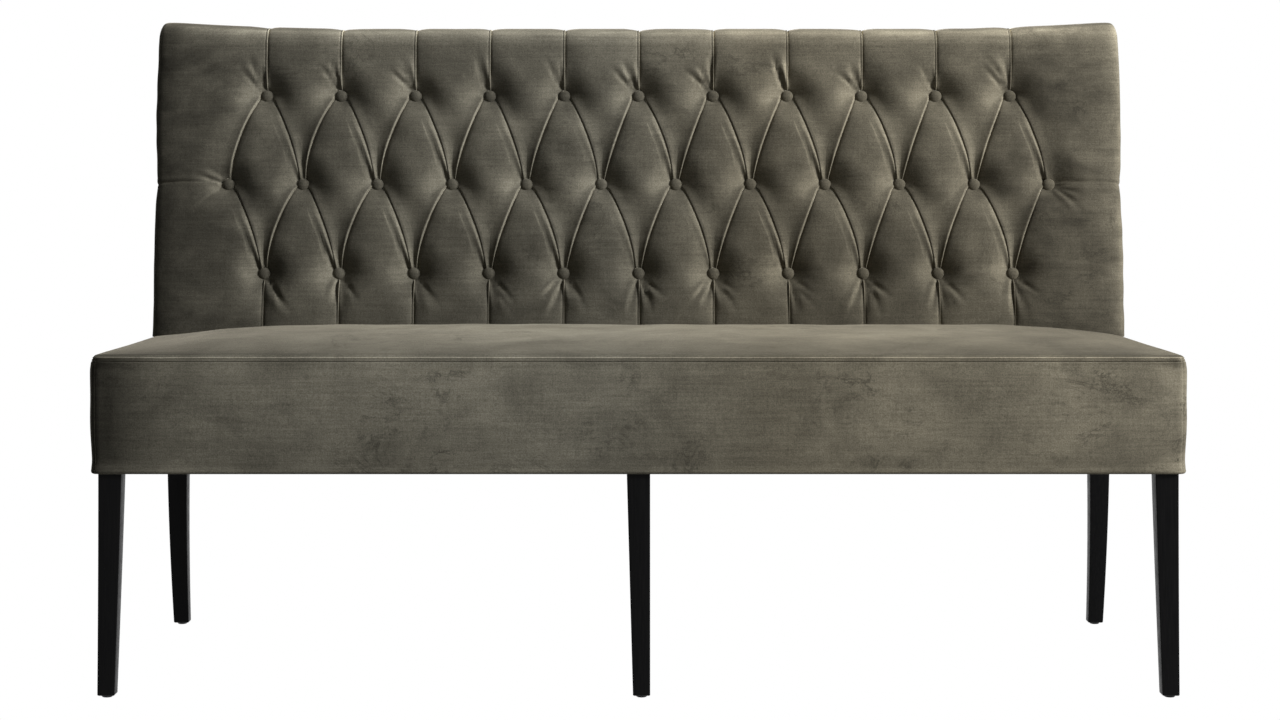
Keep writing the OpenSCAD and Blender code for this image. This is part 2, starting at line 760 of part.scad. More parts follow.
// Past the outermost buttons the tufts run out over half a pitch, and one level pleat goes on to the side
side_run = 0.5;
side_pleat_depth = 7;
side_pleat_slope = 3;   // it narrows to nothing within one third of a row step
function tuft_depth(x, v) =
    let (
        edge = field_half(v), past = abs(x) - edge, level = clamp(v, 0, 2),
        inside = tufted(min(abs(x), edge), level, abs(v - level)),
        side_pleat = side_pleat_depth * clamp(1 - side_pleat_slope * abs(v - 1))
    )
    past > 0 ? max(inside * pow(1 - clamp(past / side_run), 2), side_pleat) : inside;

// Columns of the skin: six to a pitch over the buttons, then four out to the side
steps = 6;
field_cols = steps * (side_buttons + 1);
field_x = (side_buttons + 1) * button_pitch;
margin_shares = [0.45, 0.8, 1];
col_x = concat(
    [for (s = [2:-1:0]) -field_x - margin_shares[s] * (half_w - field_x)],
    [for (i = [-field_cols:field_cols]) i / steps * button_pitch],
    [for (s = [0:2]) field_x + margin_shares[s] * (half_w - field_x)]
);
// The front turns back into the sides over the last two columns
side_turns = [16, 3.5];
function side_turn(i) = let (k = min(i, len(col_x) - 1 - i)) k > 1 ? 0 : side_turns[k];
// Row steps that a height z along the rake lies above the bottom row
function row_step(z) = (z - bottom_row) / row_pitch;
// The sides swell below the middle row and, twice as far, above it
function hump(v, from, length) = pow(sin(180 * clamp((v - from) / length)), 2);
function side_swell(z) = back_puff * (0.5 * hump(row_step(z), -0.6, 1.6) + hump(row_step(z), 1, 1.9));
// The top edge is level over the middle share of its length and rises from there to the corners
level_share = 0.54;
function top_rise(x) = corner_rise * pow(clamp((abs(x) / half_w - level_share) / (1 - level_share)), 2);

cover_z = seam_z + fit;
edge_r = 15;       // the front rolls over into the top edge by this radius
edge_notch = 3;    // depth of the notch where a pleat crosses the top edge

// Heights of the skin's points up the front: one below the rows, three to a row step, two above
foot_z = along_rake(crown_front_y, cover_z);
function front_heights(rise) = concat(
    [(foot_z + bottom_row) / 2],
    [for (r = [0:6]) bottom_row + r * row_pitch / 3],
    [top_row + 0.4 * top_margin, top_row + 0.72 * top_margin + rise]
);

// One ring of the cover at column i: rear bottom, front from bottom to top, rear top
function cover_ring(i) =
    let (
        x0 = col_x[i], x = x0 / button_pitch, far = i == 0 || i == len(col_x) - 1,
        face_y = crown_front_y + side_turn(i), foot_y = face_y + tuft_depth(x, row_step(foot_z)),
        rise = top_rise(x0), notch = abs(x0) < field_x ? edge_notch * (1 - sqrt(abs(sin(180 * x)))) : 0
    )
    concat(
        [[x0, post_back, along_rake(post_back, cover_z)], [x0, foot_y, along_rake(foot_y, cover_z)]],
        [for (z = front_heights(rise))
            [x0 + (far ? sign(x0) * side_swell(z) : 0), face_y + tuft_depth(x, row_step(z)), z]],
        [
            [x0, face_y + edge_r * (1 - cos(45)), back_l + rise - notch - edge_r * (1 - sin(45))],
            [x0, face_y + edge_r, back_l + rise - notch],
            [x0, post_back, back_l + rise - notch / 2]
        ]
    );

// The squares are split along the pleats: ring points 3 to 9 are the six row steps of the field
function along_pleat(i, j) = (i - (len(col_x) - 1) / 2 - (j - 3)) % steps == 0;
module back_cover() {
    color(velvet) centred() raked() difference() {
        loft([for (i = [0:len(col_x) - 1]) cover_ring(i)], function (i, j) along_pleat(i, j));
        block(
            [-frame_half - fit, foam_front, -seam_z],
            [frame_half + fit, post_back + edge_r, frame_top + fit]
        );
    }
}

// Covered buttons, their twines and the washers behind the panel

module button() {
    r = button_d / 2;
    rim = 1.5;
    rotate_extrude($fn = 48) polygon(concat(
        [[0, 0], [r - rim, 0], [r, rim]],
        [for (a = [0:20:80]) [r * cos(a), 2 * rim + (button_h - 2 * rim) * sin(a)]],
        [[0, button_h]]
    ));
}

module back_buttons() color(velvet) centred() raked() translate([0, button_back, 0]) at_buttons() button();

washer_t = 2;
knot_l = 1;   // a twine stands this far past its washer
module back_twines() {
    color(twine_white) centred() raked() translate([0, washer_t + knot_l, 0]) at_buttons()
        cylinder(d = twine_d, h = washer_t + knot_l - button_back, $fn = 24);
}

module back_twine_washers() {
    color(steel) centred() raked() translate([0, washer_t, 0]) at_buttons() difference() {
        cylinder(d = washer_d, h = washer_t, $fn = 48);
        translate([0, 0, -eps]) cylinder(d = twine_d + bore_fit, h = washer_t + 2 * eps, $fn = 32);
    }
}

// Board and cover that close the back, following the kink of the uprights
module outside_back() {
    y0 = post_back + fit;
    y1 = y0 + outside_t;
    side_in = 4;
    color(velvet_dark) centred() translate([-half_w + side_in, 0, 0]) rotate([90, 0, 90])
        linear_extrude(bench_w - 2 * side_in) polygon([
            [post_y + y0, clear_h], [post_y + y0, kink_z - y0 * tan(lean / 2)],
            tilt(y0, back_l - outside_drop), tilt(y1, back_l - outside_drop),
            [post_y + y1, kink_z - y1 * tan(lean / 2)], [post_y + y1, clear_h]
        ]);
}

seat_front_rail();
seat_rear_rail();
seat_left_rail();
seat_right_rail();
seat_cross_rail();
seat_corner_blocks();
seat_rail_dowels();
seat_cross_straps();
seat_long_straps();
seat_foam();
seat_top_cover();
seat_front_border();
seat_left_border();
seat_right_border();
seat_dust_cloth();
leg_front_left();
leg_front_right();
leg_front_centre();
leg_rear_left();
leg_rear_right();
leg_rear_centre();
leg_glides();
leg_bolts();
leg_bolt_nuts();
rear_rail_bolts();
rear_rail_nuts();
back_top_rail();
back_lower_rail();
back_left_stud();
back_right_stud();
back_panel();
back_foam();
back_cover();
back_buttons();
back_twines();
back_twine_washers();
outside_back();
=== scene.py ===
# %% [markdown]
# # A dining bench with a deep-buttoned back
# The bench is a long boxed seat in olive grey velvet with a tufted back and six black sabre legs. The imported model
# holds the real sizes, so this script dresses it. Each cell below makes one piece or one finish, in the frame of
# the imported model: X along the bench, Y from front to back, Z up, in metres.

# %% Load the frame
import bpy
import bmesh
import math
import numpy as np
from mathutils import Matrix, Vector


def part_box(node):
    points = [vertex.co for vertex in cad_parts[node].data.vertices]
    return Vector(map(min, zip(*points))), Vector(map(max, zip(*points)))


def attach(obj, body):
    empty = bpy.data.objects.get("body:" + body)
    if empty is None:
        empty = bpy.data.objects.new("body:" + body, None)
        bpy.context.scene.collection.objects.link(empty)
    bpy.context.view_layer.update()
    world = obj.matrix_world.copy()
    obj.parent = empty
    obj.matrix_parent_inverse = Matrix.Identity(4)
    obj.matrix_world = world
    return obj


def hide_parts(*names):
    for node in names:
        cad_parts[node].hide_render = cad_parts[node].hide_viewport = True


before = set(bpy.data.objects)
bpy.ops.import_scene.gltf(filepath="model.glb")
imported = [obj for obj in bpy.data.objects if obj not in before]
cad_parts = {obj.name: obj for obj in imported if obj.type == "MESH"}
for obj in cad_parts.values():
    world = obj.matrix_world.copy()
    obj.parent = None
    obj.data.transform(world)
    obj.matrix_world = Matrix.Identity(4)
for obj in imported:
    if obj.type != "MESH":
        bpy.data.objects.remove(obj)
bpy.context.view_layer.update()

# %% [markdown]
# ## Sizes
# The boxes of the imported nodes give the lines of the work: where the front face is, how high the seat box hangs and
# where the seam of the top panel runs. The rake of the back and the button spacing are written once.

# %% Sizes from the frame
MM = 0.001
border_low, border_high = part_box("seat_front_border")
front_y, clear_z, seam_z = border_low.y, border_low.z, border_high.z
seat_top_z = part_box("seat_top_cover")[1].z
half_w = 0.8
lean = math.radians(6.5)
post_y = front_y + 0.50772       # front face of the rear posts
kink_z = clear_z + 0.115         # where the posts begin to lean back
back_l = 0.561                   # length of the back up the rake
front_r, rear_r = -0.076, 0.030  # front and rear face of the back, off the posts' front face
pitch = 0.1234                   # between two buttons of a row
rows = (0.1525, 0.300, 0.4475)   # heights of the button rows up the rake
row_step = rows[1] - rows[0]
print("seat box from", round(clear_z, 4), "to", round(seam_z, 4), "crown at", round(seat_top_z, 4))


def raked(x, y, z):
    """From the raked frame of the back (y off the posts' front face, z up the rake) to the bench."""
    return x, post_y + y * math.cos(lean) + z * math.sin(lean), kink_z - y * math.sin(lean) + z * math.cos(lean)


# %% [markdown]
# ## Objects and node trees
# Finishes, the world and Geometry Nodes are all trees of nodes, so one small class serves them all: a node is made in
# one call, with its inputs named, and sums are written as calls.


# %% Helpers for objects and node trees
def placed(name, data):
    """A new object in the scene."""
    made = bpy.data.objects.new(name, data)
    bpy.context.scene.collection.objects.link(made)
    return made


def fresh_tree(owner):
    """The node tree of a material or world, emptied."""
    owner.use_nodes = True
    owner.node_tree.nodes.clear()
    return owner.node_tree


class Nodes:
    """Short calls for the nodes of a tree. An input is given as a socket to link or as a value."""

    def __init__(self, tree):
        self.tree = tree

    def feed(self, socket, value):
        if hasattr(value, "is_linked"):
            self.tree.links.new(value, socket)
        else:
            socket.default_value = value

    def node(self, kind, settings=None, **inputs):
        made = self.tree.nodes.new(kind)
        for name, value in (settings or {}).items():
            setattr(made, name, value)
        for name, value in inputs.items():
            self.feed(made.inputs[name.replace("_", " ")], value)
        return made

    def maths(self, kind, *values):
        made = self.node("ShaderNodeMath", {"operation": kind})
        for socket, value in zip(made.inputs, values):
            self.feed(socket, value)
        return made.outputs[0]

    def product(self, first, *others):
        for other in others:
            first = self.maths("MULTIPLY", first, other)
        return first

    def parts(self, vector):
        """The x, y and z sockets of a vector."""
        return self.node("ShaderNodeSeparateXYZ", Vector=vector).outputs

    def xyz(self, x, y, z):
        return self.node("ShaderNodeCombineXYZ", X=x, Y=y, Z=z).outputs[0]


# %% [markdown]
# ## Camera
# The photograph was taken level and square on: the verticals stay parallel and the horizon lies above the middle of
# the picture. A lens shift lowers the view without tilting the camera, as the photographer's lens did.

# %% Camera at the photograph's place
lens_px, picture_w, horizon_px = 2336.0, 1280, 180.5
camera_data = bpy.data.cameras.new("photo_camera")
camera_data.sensor_width = 36.0
camera_data.lens = lens_px / picture_w * camera_data.sensor_width
camera_data.shift_x, camera_data.shift_y = 0.0012, -0.125
tilt = math.atan((horizon_px + camera_data.shift_y * picture_w) / lens_px)
camera = placed("photo_camera", camera_data)
camera.location = (0.0, front_y - 3.383, 0.753)
camera.rotation_euler = (math.radians(90) - tilt, 0, 0)
bpy.context.scene.camera = camera
print("lens", round(camera_data.lens, 2), "mm, shift", round(camera_data.shift_y, 4))

# %% [markdown]
# ## Light and floor
# A softbox stands to the right of the bench and above it, close enough that the left end falls off into shade, as
# velvet shows so clearly, and a weak one hangs over the middle. The floor is plain and shows white to the camera.


# %% World, lamps and floor
def lamp(name, place, target, size, power):
    data = bpy.data.lights.new(name, "AREA")
    data.shape = "RECTANGLE"
    data.size, data.size_y = size
    data.energy = power
    made = placed(name, data)
    made.location = place
    made.rotation_euler = (Vector(target) - Vector(place)).to_track_quat("-Z", "Y").to_euler()


def white_to_camera(tree, shader, glow, output):
    """Plain white where the camera sees it, straight or reflected, and the given shader for all other light."""
    path = tree.node("ShaderNodeLightPath").outputs
    seen = tree.maths("MAXIMUM", path["Is Camera Ray"], path["Is Transmission Ray"])
    seen = tree.maths("MAXIMUM", seen, path["Is Glossy Ray"])
    white = tree.node(glow, Color=(1, 1, 1, 1), Strength=1.0)
    mix = tree.node("ShaderNodeMixShader")
    for socket, value in zip(mix.inputs, (seen, shader.outputs[0], white.outputs[0])):
        tree.feed(socket, value)
    tree.node(output, Surface=mix.outputs[0])


world = bpy.data.worlds.new("studio")
bpy.context.scene.world = world
studio = Nodes(fresh_tree(world))
room = studio.node("ShaderNodeBackground", Color=(0.90, 0.98, 0.93, 1), Strength=0.030)
white_to_camera(studio, room, "ShaderNodeBackground", "ShaderNodeOutputWorld")

lamp("softbox_right", (4.7, -2.3, 2.9), (0.1, 0.0, 0.6), (1.2, 1.2), 490)
lamp("softbox_above", (0.4, -0.2, 3.0), (0.0, 0.0, 0.4), (2.4, 0.9), 7)

bpy.context.scene.view_settings.view_transform = "Standard"
floor_mesh = bpy.data.meshes.new("floor")
floor_mesh.from_pydata([(-9, -9, 0), (9, -9, 0), (9, 9, 0), (-9, 9, 0)], [], [(0, 1, 2, 3)])
floor = placed("floor", floor_mesh)
paint = bpy.data.materials.new("pale_floor")
matt = Nodes(fresh_tree(paint))
grey = matt.node("ShaderNodeBsdfDiffuse", Color=(0.28, 0.28, 0.28, 1))
white_to_camera(matt, grey, "ShaderNodeEmission", "ShaderNodeOutputMaterial")
floor_mesh.materials.append(paint)


# %% [markdown]
# ## Finishes
# Each finish is a small node tree. Patterns read Object coordinates, which are metres here because every piece sits
# at the origin, so a scale of 100 on a noise makes marks about a centimetre wide.


# %% Helper for finishes
class Finish(Nodes):
    """A material with one Principled shader, and short calls for the patterns that feed it."""

    def __init__(self, name):
        self.material = bpy.data.materials.new(name)
        super().__init__(fresh_tree(self.material))
        self.shader = self.node("ShaderNodeBsdfPrincipled")
        self.node("ShaderNodeOutputMaterial", Surface=self.shader.outputs[0])
        self.coords = self.node("ShaderNodeTexCoord").outputs["Object"]

    def set(self, **values):
        for name, value in values.items():
            self.feed(self.shader.inputs[name.replace("_", " ")], value)
        return self

    def noise(self, scale, stretch=(1, 1, 1), detail=3.0, rough=0.55, twist=0.0):
        place = self.node("ShaderNodeMapping", Vector=self.coords, Scale=stretch).outputs[0]
        return self.node("ShaderNodeTexNoise", Vector=place, Scale=scale, Detail=detail, Roughness=rough,
                         Distortion=twist).outputs[0]

    def ramp(self, value, *stops):
        made = self.node("ShaderNodeValToRGB", Fac=value)
        while len(made.color_ramp.elements) < len(stops):
            made.color_ramp.elements.new(0.5)
        for element, (at, colour) in zip(made.color_ramp.elements, stops):
            element.position = at
            element.color = (*colour, 1) if isinstance(colour, tuple) else (colour, colour, colour, 1)
        return made.outputs[0]

    def mix(self, share, first, second, blend="MIX"):
        made = self.node("ShaderNodeMix", {"data_type": "RGBA", "blend_type": blend})
        for number, value in ((0, share), (6, first), (7, second)):
            self.feed(made.inputs[number], (*value, 1) if isinstance(value, tuple) else value)
        return made.outputs[2]

    def tinted(self, colour, tint, share=1.0):
        return self.mix(share, colour, tint, "MULTIPLY")

    def bump(self, height, distance, strength):
        made = self.node("ShaderNodeBump", Height=height, Distance=distance, Strength=strength)
        return self.set(Normal=made.outputs[0])


# %% [markdown]
# ## Velvet
# Velvet is dark where it faces you and light where the pile turns away, which the sheen lobe gives. Hands and brushes
# leave marks: soft patches a hand wide, a few darker smudges, fine broken creases and faint level streaks from the
# loom. Light and shade are painted in as well: painted shade towards the left end and at the foot of the back, painted
# light and shade on level faces, painted highlights on the seat's seam line and on the back's right-hand rim and top
# edge, and a painted cooler hue over the left half.


# %% Painted light and shade, marks and weave
def painted_light_by_place(f, left_end, level):
    """Painted light and shade by place: upright faces darker towards the left end, level faces lighter or darker
    by a given factor and darker towards both ends and where they turn to the front, and a painted cooler hue over
    the left half, warmer towards the lamp on the right.
    """
    place = f.parts(f.coords)
    facing = f.parts(f.node("ShaderNodeNewGeometry").outputs["Normal"])
    to_front = f.product(facing[1], -1.0)
    upright = f.ramp(to_front, (0.55, 0.0), (0.85, 1.0))
    lying = f.ramp(facing[2], (0.75, 0.0), (0.95, 1.0))
    from_left = f.maths("ADD", place[0], half_w)
    # Painted shade on upright faces, darker towards the left end, where the lamp's light falls off.
    along = f.ramp(from_left, *left_end)
    # Painted light and shade on level faces: the given factor, darker towards both ends, most at the left.
    top_shade_stops = [(0.0, 0.13), (0.05, 0.26), (0.14, 0.68), (0.24, 0.88), (0.42, 1.0), (0.69, 1.0), (0.91, 0.64)]
    over = f.ramp(f.product(from_left, 0.5 / half_w), *[(at, level * tone) for at, tone in top_shade_stops])
    # Painted shade where a level face turns to the front.
    over = f.tinted(over, f.ramp(to_front, (0.03, 1.0), (0.20, 0.54)))
    # Painted cooler hue over the left half, warmer towards the lamp on the right.
    painted_hue = f.ramp(from_left, (0.75, (1.0, 1.04, 1.11)), (1.0, (1.0, 1.0, 1.0)))
    return f.tinted(f.mix(lying, f.mix(upright, (1, 1, 1), along), over), painted_hue), place, facing, upright


def marked(f, body, marks):
    """The velvet's colour with its patches, smudges and broken creases."""
    patches = f.ramp(f.noise(6.0, (1, 1, 1.3), detail=5.0, rough=0.6, twist=0.8), (0.36, 0.0), (0.64, 1.0))
    colour = f.mix(patches, tuple(body * 0.76), tuple(body * 1.22))
    smudges = f.ramp(f.noise(24.0, (1, 1, 2.2), detail=7.0, rough=0.72, twist=0.9), (0.32, 1.0), (0.48, 0.0))
    where = f.ramp(f.noise(2.6, detail=2.0), (0.42, 0.0), (0.60, 1.0))
    colour = f.mix(f.product(smudges, where, 0.5 * marks), colour, tuple(body * 0.42))
    ridge = f.maths("SUBTRACT", f.noise(10.0, (1, 1, 1.5), detail=7.0, rough=0.68, twist=0.6), 0.5)
    creases = f.ramp(f.maths("ABSOLUTE", ridge), (0.0, 1.0), (0.034, 0.0))
    where = f.ramp(f.noise(5.0), (0.46, 0.0), (0.60, 1.0))
    broken = f.ramp(f.noise(19.0, (1, 1, 1.8), detail=4.0), (0.44, 0.0), (0.62, 1.0))
    return f.mix(f.product(creases, where, broken, 0.80 * marks), colour, tuple(body * 0.36))


def woven_in(f, colour):
    """Level streaks of the loom, upright threads and the grain of the pile, the finest last."""
    for share, pattern, low, high in (
            (0.32, f.noise(1.0, (11, 11, 330), detail=4.0, rough=0.75), (0.3, 0.20), (0.7, 0.82)),
            (0.16, f.noise(1.0, (260, 260, 20), detail=3.0, rough=0.7), (0.3, 0.25), (0.7, 0.78)),
            (0.55, f.noise(520.0, detail=5.0, rough=0.8), (0.34, 0.12), (0.66, 0.90))):
        colour = f.mix(share, colour, f.ramp(pattern, low, high), "SOFT_LIGHT")
    return colour


def wisps_and_painted_light(f, colour, place, facing):
    """The back's wisps at its ends, which are its own tone, with painted light and shade: painted shade darker towards
    the foot, and painted highlights on its right-hand rim and along its top edge.
    """
    away = f.maths("ABSOLUTE", place[0])
    wisps = f.ramp(f.noise(11.0, (0.8, 1, 1.5), detail=5.0, rough=0.6, twist=0.7), (0.36, 0.62), (0.64, 1.24))
    colour = f.tinted(colour, wisps, f.product(f.ramp(away, (0.50, 0.0), (0.68, 1.0)), 0.8))
    # Painted shade towards the foot of the back, reaching higher near the right end.
    lower = f.product(f.ramp(place[0], (0.60, 0.0), (0.69, 1.0), (0.73, 1.0), (0.79, 0.3)), -0.30)
    drop = f.ramp(f.maths("ADD", place[2], lower), (0.36, 0.52), (0.52, 0.70), (0.92, 1.04))
    # The foot's painted shade, and a painted highlight where faces turn to the right.
    colour = f.tinted(f.tinted(colour, drop), f.ramp(facing[0], (0.20, 1.0), (0.62, 1.75)))
    # Painted highlight along the top edge, less at the ends and on faces turned to the rear.
    near_top = f.maths("MULTIPLY_ADD", place[2], 5.0, -4.5)
    crest = f.ramp(near_top, (0.275, 0.96), (0.375, 1.12), (0.45, 1.75), (0.50, 3.1))
    front = f.ramp(facing[1], (0.2, 1.0), (0.6, 0.0))
    return f.tinted(colour, crest, f.product(front, f.ramp(away, (0.68, 1.0), (0.77, 0.25))))


# %% Velvet
def velvet(name, tone, marks, for_back=False, level=1.0, sheen=0.65):
    f = Finish(name)
    colour = woven_in(f, marked(f, np.array((0.146, 0.1305, 0.0955)) * tone, marks))
    # Stops of the painted shade towards the left end of upright faces: strong on the seat, light on the back.
    left_end = [(0.0, 0.15), (0.044, 0.37), (0.11, 0.88), (0.16, 1.0)]
    if for_back:
        left_end = [(0.0, 0.62), (0.05, 0.74), (0.15, 1.0)]
    # The painted light and shade by place, laid over the colour.
    light_by_place, place, facing, upright = painted_light_by_place(f, left_end, level)
    colour = f.tinted(colour, light_by_place)
    # On the back: its wisps, and its painted shade and painted highlights.
    if for_back:
        colour = wisps_and_painted_light(f, colour, place, facing)
    else:
        # Painted highlight along the seat's seam line, where the lip catches the light.
        by_seam = f.maths("MULTIPLY_ADD", place[2], 100.0, 0.5 - 100.0 * seam_z)
        seam_highlight = f.ramp(by_seam, (0.40, 1.0), (0.45, 2.4), (0.68, 2.4), (0.74, 1.0))
        colour = f.tinted(colour, seam_highlight, upright)
    f.set(Base_Color=colour, Roughness=0.92, Sheen_Weight=sheen, Sheen_Roughness=0.38,
          Sheen_Tint=(0.91, 0.83, 0.665, 1), Specular_IOR_Level=0.12)
    fine, coarse = f.noise(900.0, detail=3.0, rough=0.7), f.noise(60.0, (1, 1, 1.6), detail=5.0)
    return f.bump(f.maths("ADD", f.product(fine, 0.6), coarse), 0.0009, 0.6).material


# One velvet in three copies: the seat's higher tone and level-top factor are painted light, the back's lower tone is
# painted shade, and the buttons take the darkest tone.
velvet_seat = velvet("velvet_seat", 1.18, 1.0, level=1.40, sheen=0.26)
velvet_back = velvet("velvet_back", 0.85, 0.7, for_back=True, sheen=0.74)
velvet_button = velvet("velvet_button", 0.66, 0.5)
print("velvets", velvet_seat.name, velvet_back.name, velvet_button.name)

# %% [markdown]
# ## Other finishes
# The legs are black lacquer over beech, smooth with a trace of grain. The rest is what an upholsterer uses inside:
# beech rails, plywood, webbing, felt, twine and plated steel. They are hidden, but each still has its own pattern.


# %% Wood, steel, cloth and thread
def lacquer():
    f = Finish("black_lacquer")
    grain = f.noise(1.0, (520, 520, 14), detail=5.0, rough=0.6, twist=0.4)
    f.set(Base_Color=f.ramp(grain, (0.3, (0.0025, 0.0025, 0.0028)), (0.7, (0.0065, 0.0063, 0.0064))),
          Roughness=f.ramp(f.noise(70.0), (0.3, 0.30), (0.7, 0.42)), Specular_IOR_Level=0.05)
    return f.bump(grain, 0.0002, 0.35).material


def timber(name, dark, light, along=(26, 420, 420)):
    f = Finish(name)
    grain = f.noise(1.0, along, detail=5.0, rough=0.6, twist=0.8)
    f.set(Base_Color=f.ramp(grain, (0.3, dark), (0.7, light)), Roughness=0.6)
    return f.bump(grain, 0.0003, 0.4).material


def plated(name, tint):
    f = Finish(name)
    scratch = f.noise(1.0, (900, 120, 900), detail=4.0)
    f.set(Base_Color=f.ramp(f.noise(140.0), (0.3, tuple(0.8 * c for c in tint)), (0.7, tint)),
          Roughness=f.ramp(scratch, (0.3, 0.24), (0.7, 0.42)), Metallic=1.0)
    return f.bump(scratch, 0.00005, 0.3).material


def speckled(name, dark, light, scale, depth, rough=0.9):
    f = Finish(name)
    grain = f.noise(scale, detail=4.0, rough=0.7)
    f.set(Base_Color=f.ramp(grain, (0.35, dark), (0.65, light)), Roughness=rough)
    return f.bump(grain, depth, 0.6).material


def woven(name, dark, light, threads):
    f = Finish(name)
    waves = []
    for turn in ((0, 0, 0), (0, 0, math.pi / 2)):
        place = f.node("ShaderNodeMapping", Vector=f.coords, Rotation=turn).outputs[0]
        waves.append(f.node("ShaderNodeTexWave", Vector=place, Scale=threads, Distortion=0.6).outputs["Fac"])
    weave = f.product(*waves)
    f.set(Base_Color=f.ramp(weave, (0.1, dark), (0.8, light)), Roughness=0.85)
    return f.bump(weave, 0.0004, 0.6).material


leg_black = lacquer()
beech = timber("beech", (0.42, 0.27, 0.15), (0.62, 0.44, 0.27))
plywood = timber("plywood", (0.50, 0.36, 0.21), (0.66, 0.50, 0.33), (18, 300, 60))
steel = plated("zinc_steel", (0.62, 0.63, 0.65))
blackened = plated("blackened_glide", (0.022, 0.022, 0.023))
felt = speckled("black_felt", (0.006, 0.006, 0.006), (0.022, 0.022, 0.023), 650.0, 0.0005)
thread = speckled("velvet_thread", (0.070, 0.065, 0.052), (0.150, 0.140, 0.115), 2600.0, 0.0002, 0.75)
twine = speckled("flax_twine", (0.55, 0.48, 0.36), (0.78, 0.72, 0.60), 1500.0, 0.0004)
webbing = woven("webbing", (0.16, 0.15, 0.13), (0.36, 0.34, 0.30), 160.0)
print("finishes", len(bpy.data.materials))

# %% [markdown]
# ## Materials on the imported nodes
# Rails, bolts and straps are already the right shape, so they keep their place and only take a finish.

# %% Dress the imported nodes
dressed = {
    beech: ["seat_front_rail", "seat_rear_rail", "seat_left_rail", "seat_right_rail", "seat_cross_rail",
            "seat_corner_blocks", "seat_rail_dowels", "back_top_rail", "back_lower_rail", "back_left_stud",
            "back_right_stud"],
    plywood: ["back_panel"],
    steel: ["leg_bolts", "leg_bolt_nuts", "rear_rail_bolts", "rear_rail_nuts", "back_twine_washers"],
    blackened: ["leg_glides"],
    webbing: ["seat_cross_straps", "seat_long_straps"],
    twine: ["back_twines"],
}
for finish, names in dressed.items():
    for name in names:
        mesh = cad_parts[name].data
        mesh.materials.clear()
        mesh.materials.append(finish)
print("dressed", sum(len(names) for names in dressed.values()), "packed nodes")


# %% [markdown]
# ## Making meshes
# Most soft pieces are grids of points that follow a rule, worked out with arrays. One helper turns the points and
# faces into a smooth-shaded piece that rides on the bench.


# %% Helpers for meshes
def edited(made, change):
    """Change the object's mesh with a bmesh step."""
    work = bmesh.new()
    work.from_mesh(made.data)
    change(work)
    work.to_mesh(made.data)
    work.free()


def face_out(work):
    bmesh.ops.remove_doubles(work, verts=work.verts, dist=1e-7)
    bmesh.ops.recalc_face_normals(work, faces=work.faces)


def drop_loose(work):
    bmesh.ops.delete(work, geom=[v for v in work.verts if not v.link_faces], context="VERTS")


def on_bench(made):
    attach(made, "root")
    print(made.name, len(made.data.polygons), "faces")
    return made


def piece(name, points, faces, finish):
    mesh = bpy.data.meshes.new(name)
    mesh.from_pydata(np.asarray(points, float).tolist(), [], faces)
    mesh.materials.append(finish)
    mesh.polygons.foreach_set("use_smooth", [True] * len(mesh.polygons))
    mesh.validate()
    made = placed(name, mesh)
    edited(made, face_out)
    return on_bench(made)


def tube_faces(rings, count, closed=True):
    """Quads between rings of count points each, round a closed or open outline."""
    across = count if closed else count - 1
    return [(i * count + j, i * count + (j + 1) % count, (i + 1) * count + (j + 1) % count, (i + 1) * count + j)
            for i in range(rings - 1) for j in range(across)]


def capped_tube(rings, count):
    """The quads of a closed tube with a face on each end."""
    return tube_faces(rings, count) + [tuple(range(count)), tuple((rings - 1) * count + k for k in range(count))]


def smoothstep(v, low=0.0, high=1.0):
    t = np.clip((np.asarray(v, float) - low) / (high - low), 0, 1)
    return t * t * (3 - 2 * t)


def eased(distance, reach=1.0, power=2.0):
    """From 0 at an edge to 1 at that reach, steep at the edge and level at the end."""
    return 1 - (1 - np.clip(distance / reach, 0, 1)) ** power


def gathered(low, high, count, fine):
    """Points from low to high that lie closer together near both ends."""
    t = np.linspace(0, 1, count)
    t = t * (1 - fine) + fine * (1 - np.cos(math.pi * t)) / 2
    return low + (high - low) * t


def uneven(u, v, seed, wave, size):
    """Slow hand-made unevenness: a few seeded waves of about that length and size."""
    draw = np.random.default_rng(seed)
    total = 0.0
    for _ in range(7):
        a, b = draw.normal(0, 1, 2) * 2 * math.pi / wave
        total = total + np.sin(a * u + b * v + draw.uniform(0, 2 * math.pi))
    return total * size / 3.5


# %% [markdown]
# ## Cloth over stuffing
# A panel that is sewn into a seat swells between its seams and ripples where the cloth is looser. Blender's Cloth finds
# that shape: a coarse blank of the panel is pinned along its seams, blown up for 20 frames and read off. A spline then
# carries the movement over to the finer sewn skin.


# %% Cloth under pressure
def spline_weights(at, low, high, count):
    """Weights of a smooth cubic spline through count evenly spaced values."""
    away = np.abs((np.asarray(at, float).reshape(-1, 1) - low) / (high - low) * (count - 1) - np.arange(count))
    near, far = 2 / 3 - away ** 2 + away ** 3 / 2, np.maximum(0, 2 - away) ** 3 / 6
    weights = np.where(away < 1, near, far)
    return weights / weights.sum(1, keepdims=True)


def sampled(grid, u, v, low, high):
    """Values of a coarse grid at the places u, v of a fine one."""
    along, up = (spline_weights(np.clip(w, a, b), a, b, n) for w, a, b, n in zip((u, v), low, high, grid.shape))
    return ((along @ grid) * up).sum(1).reshape(np.shape(u))


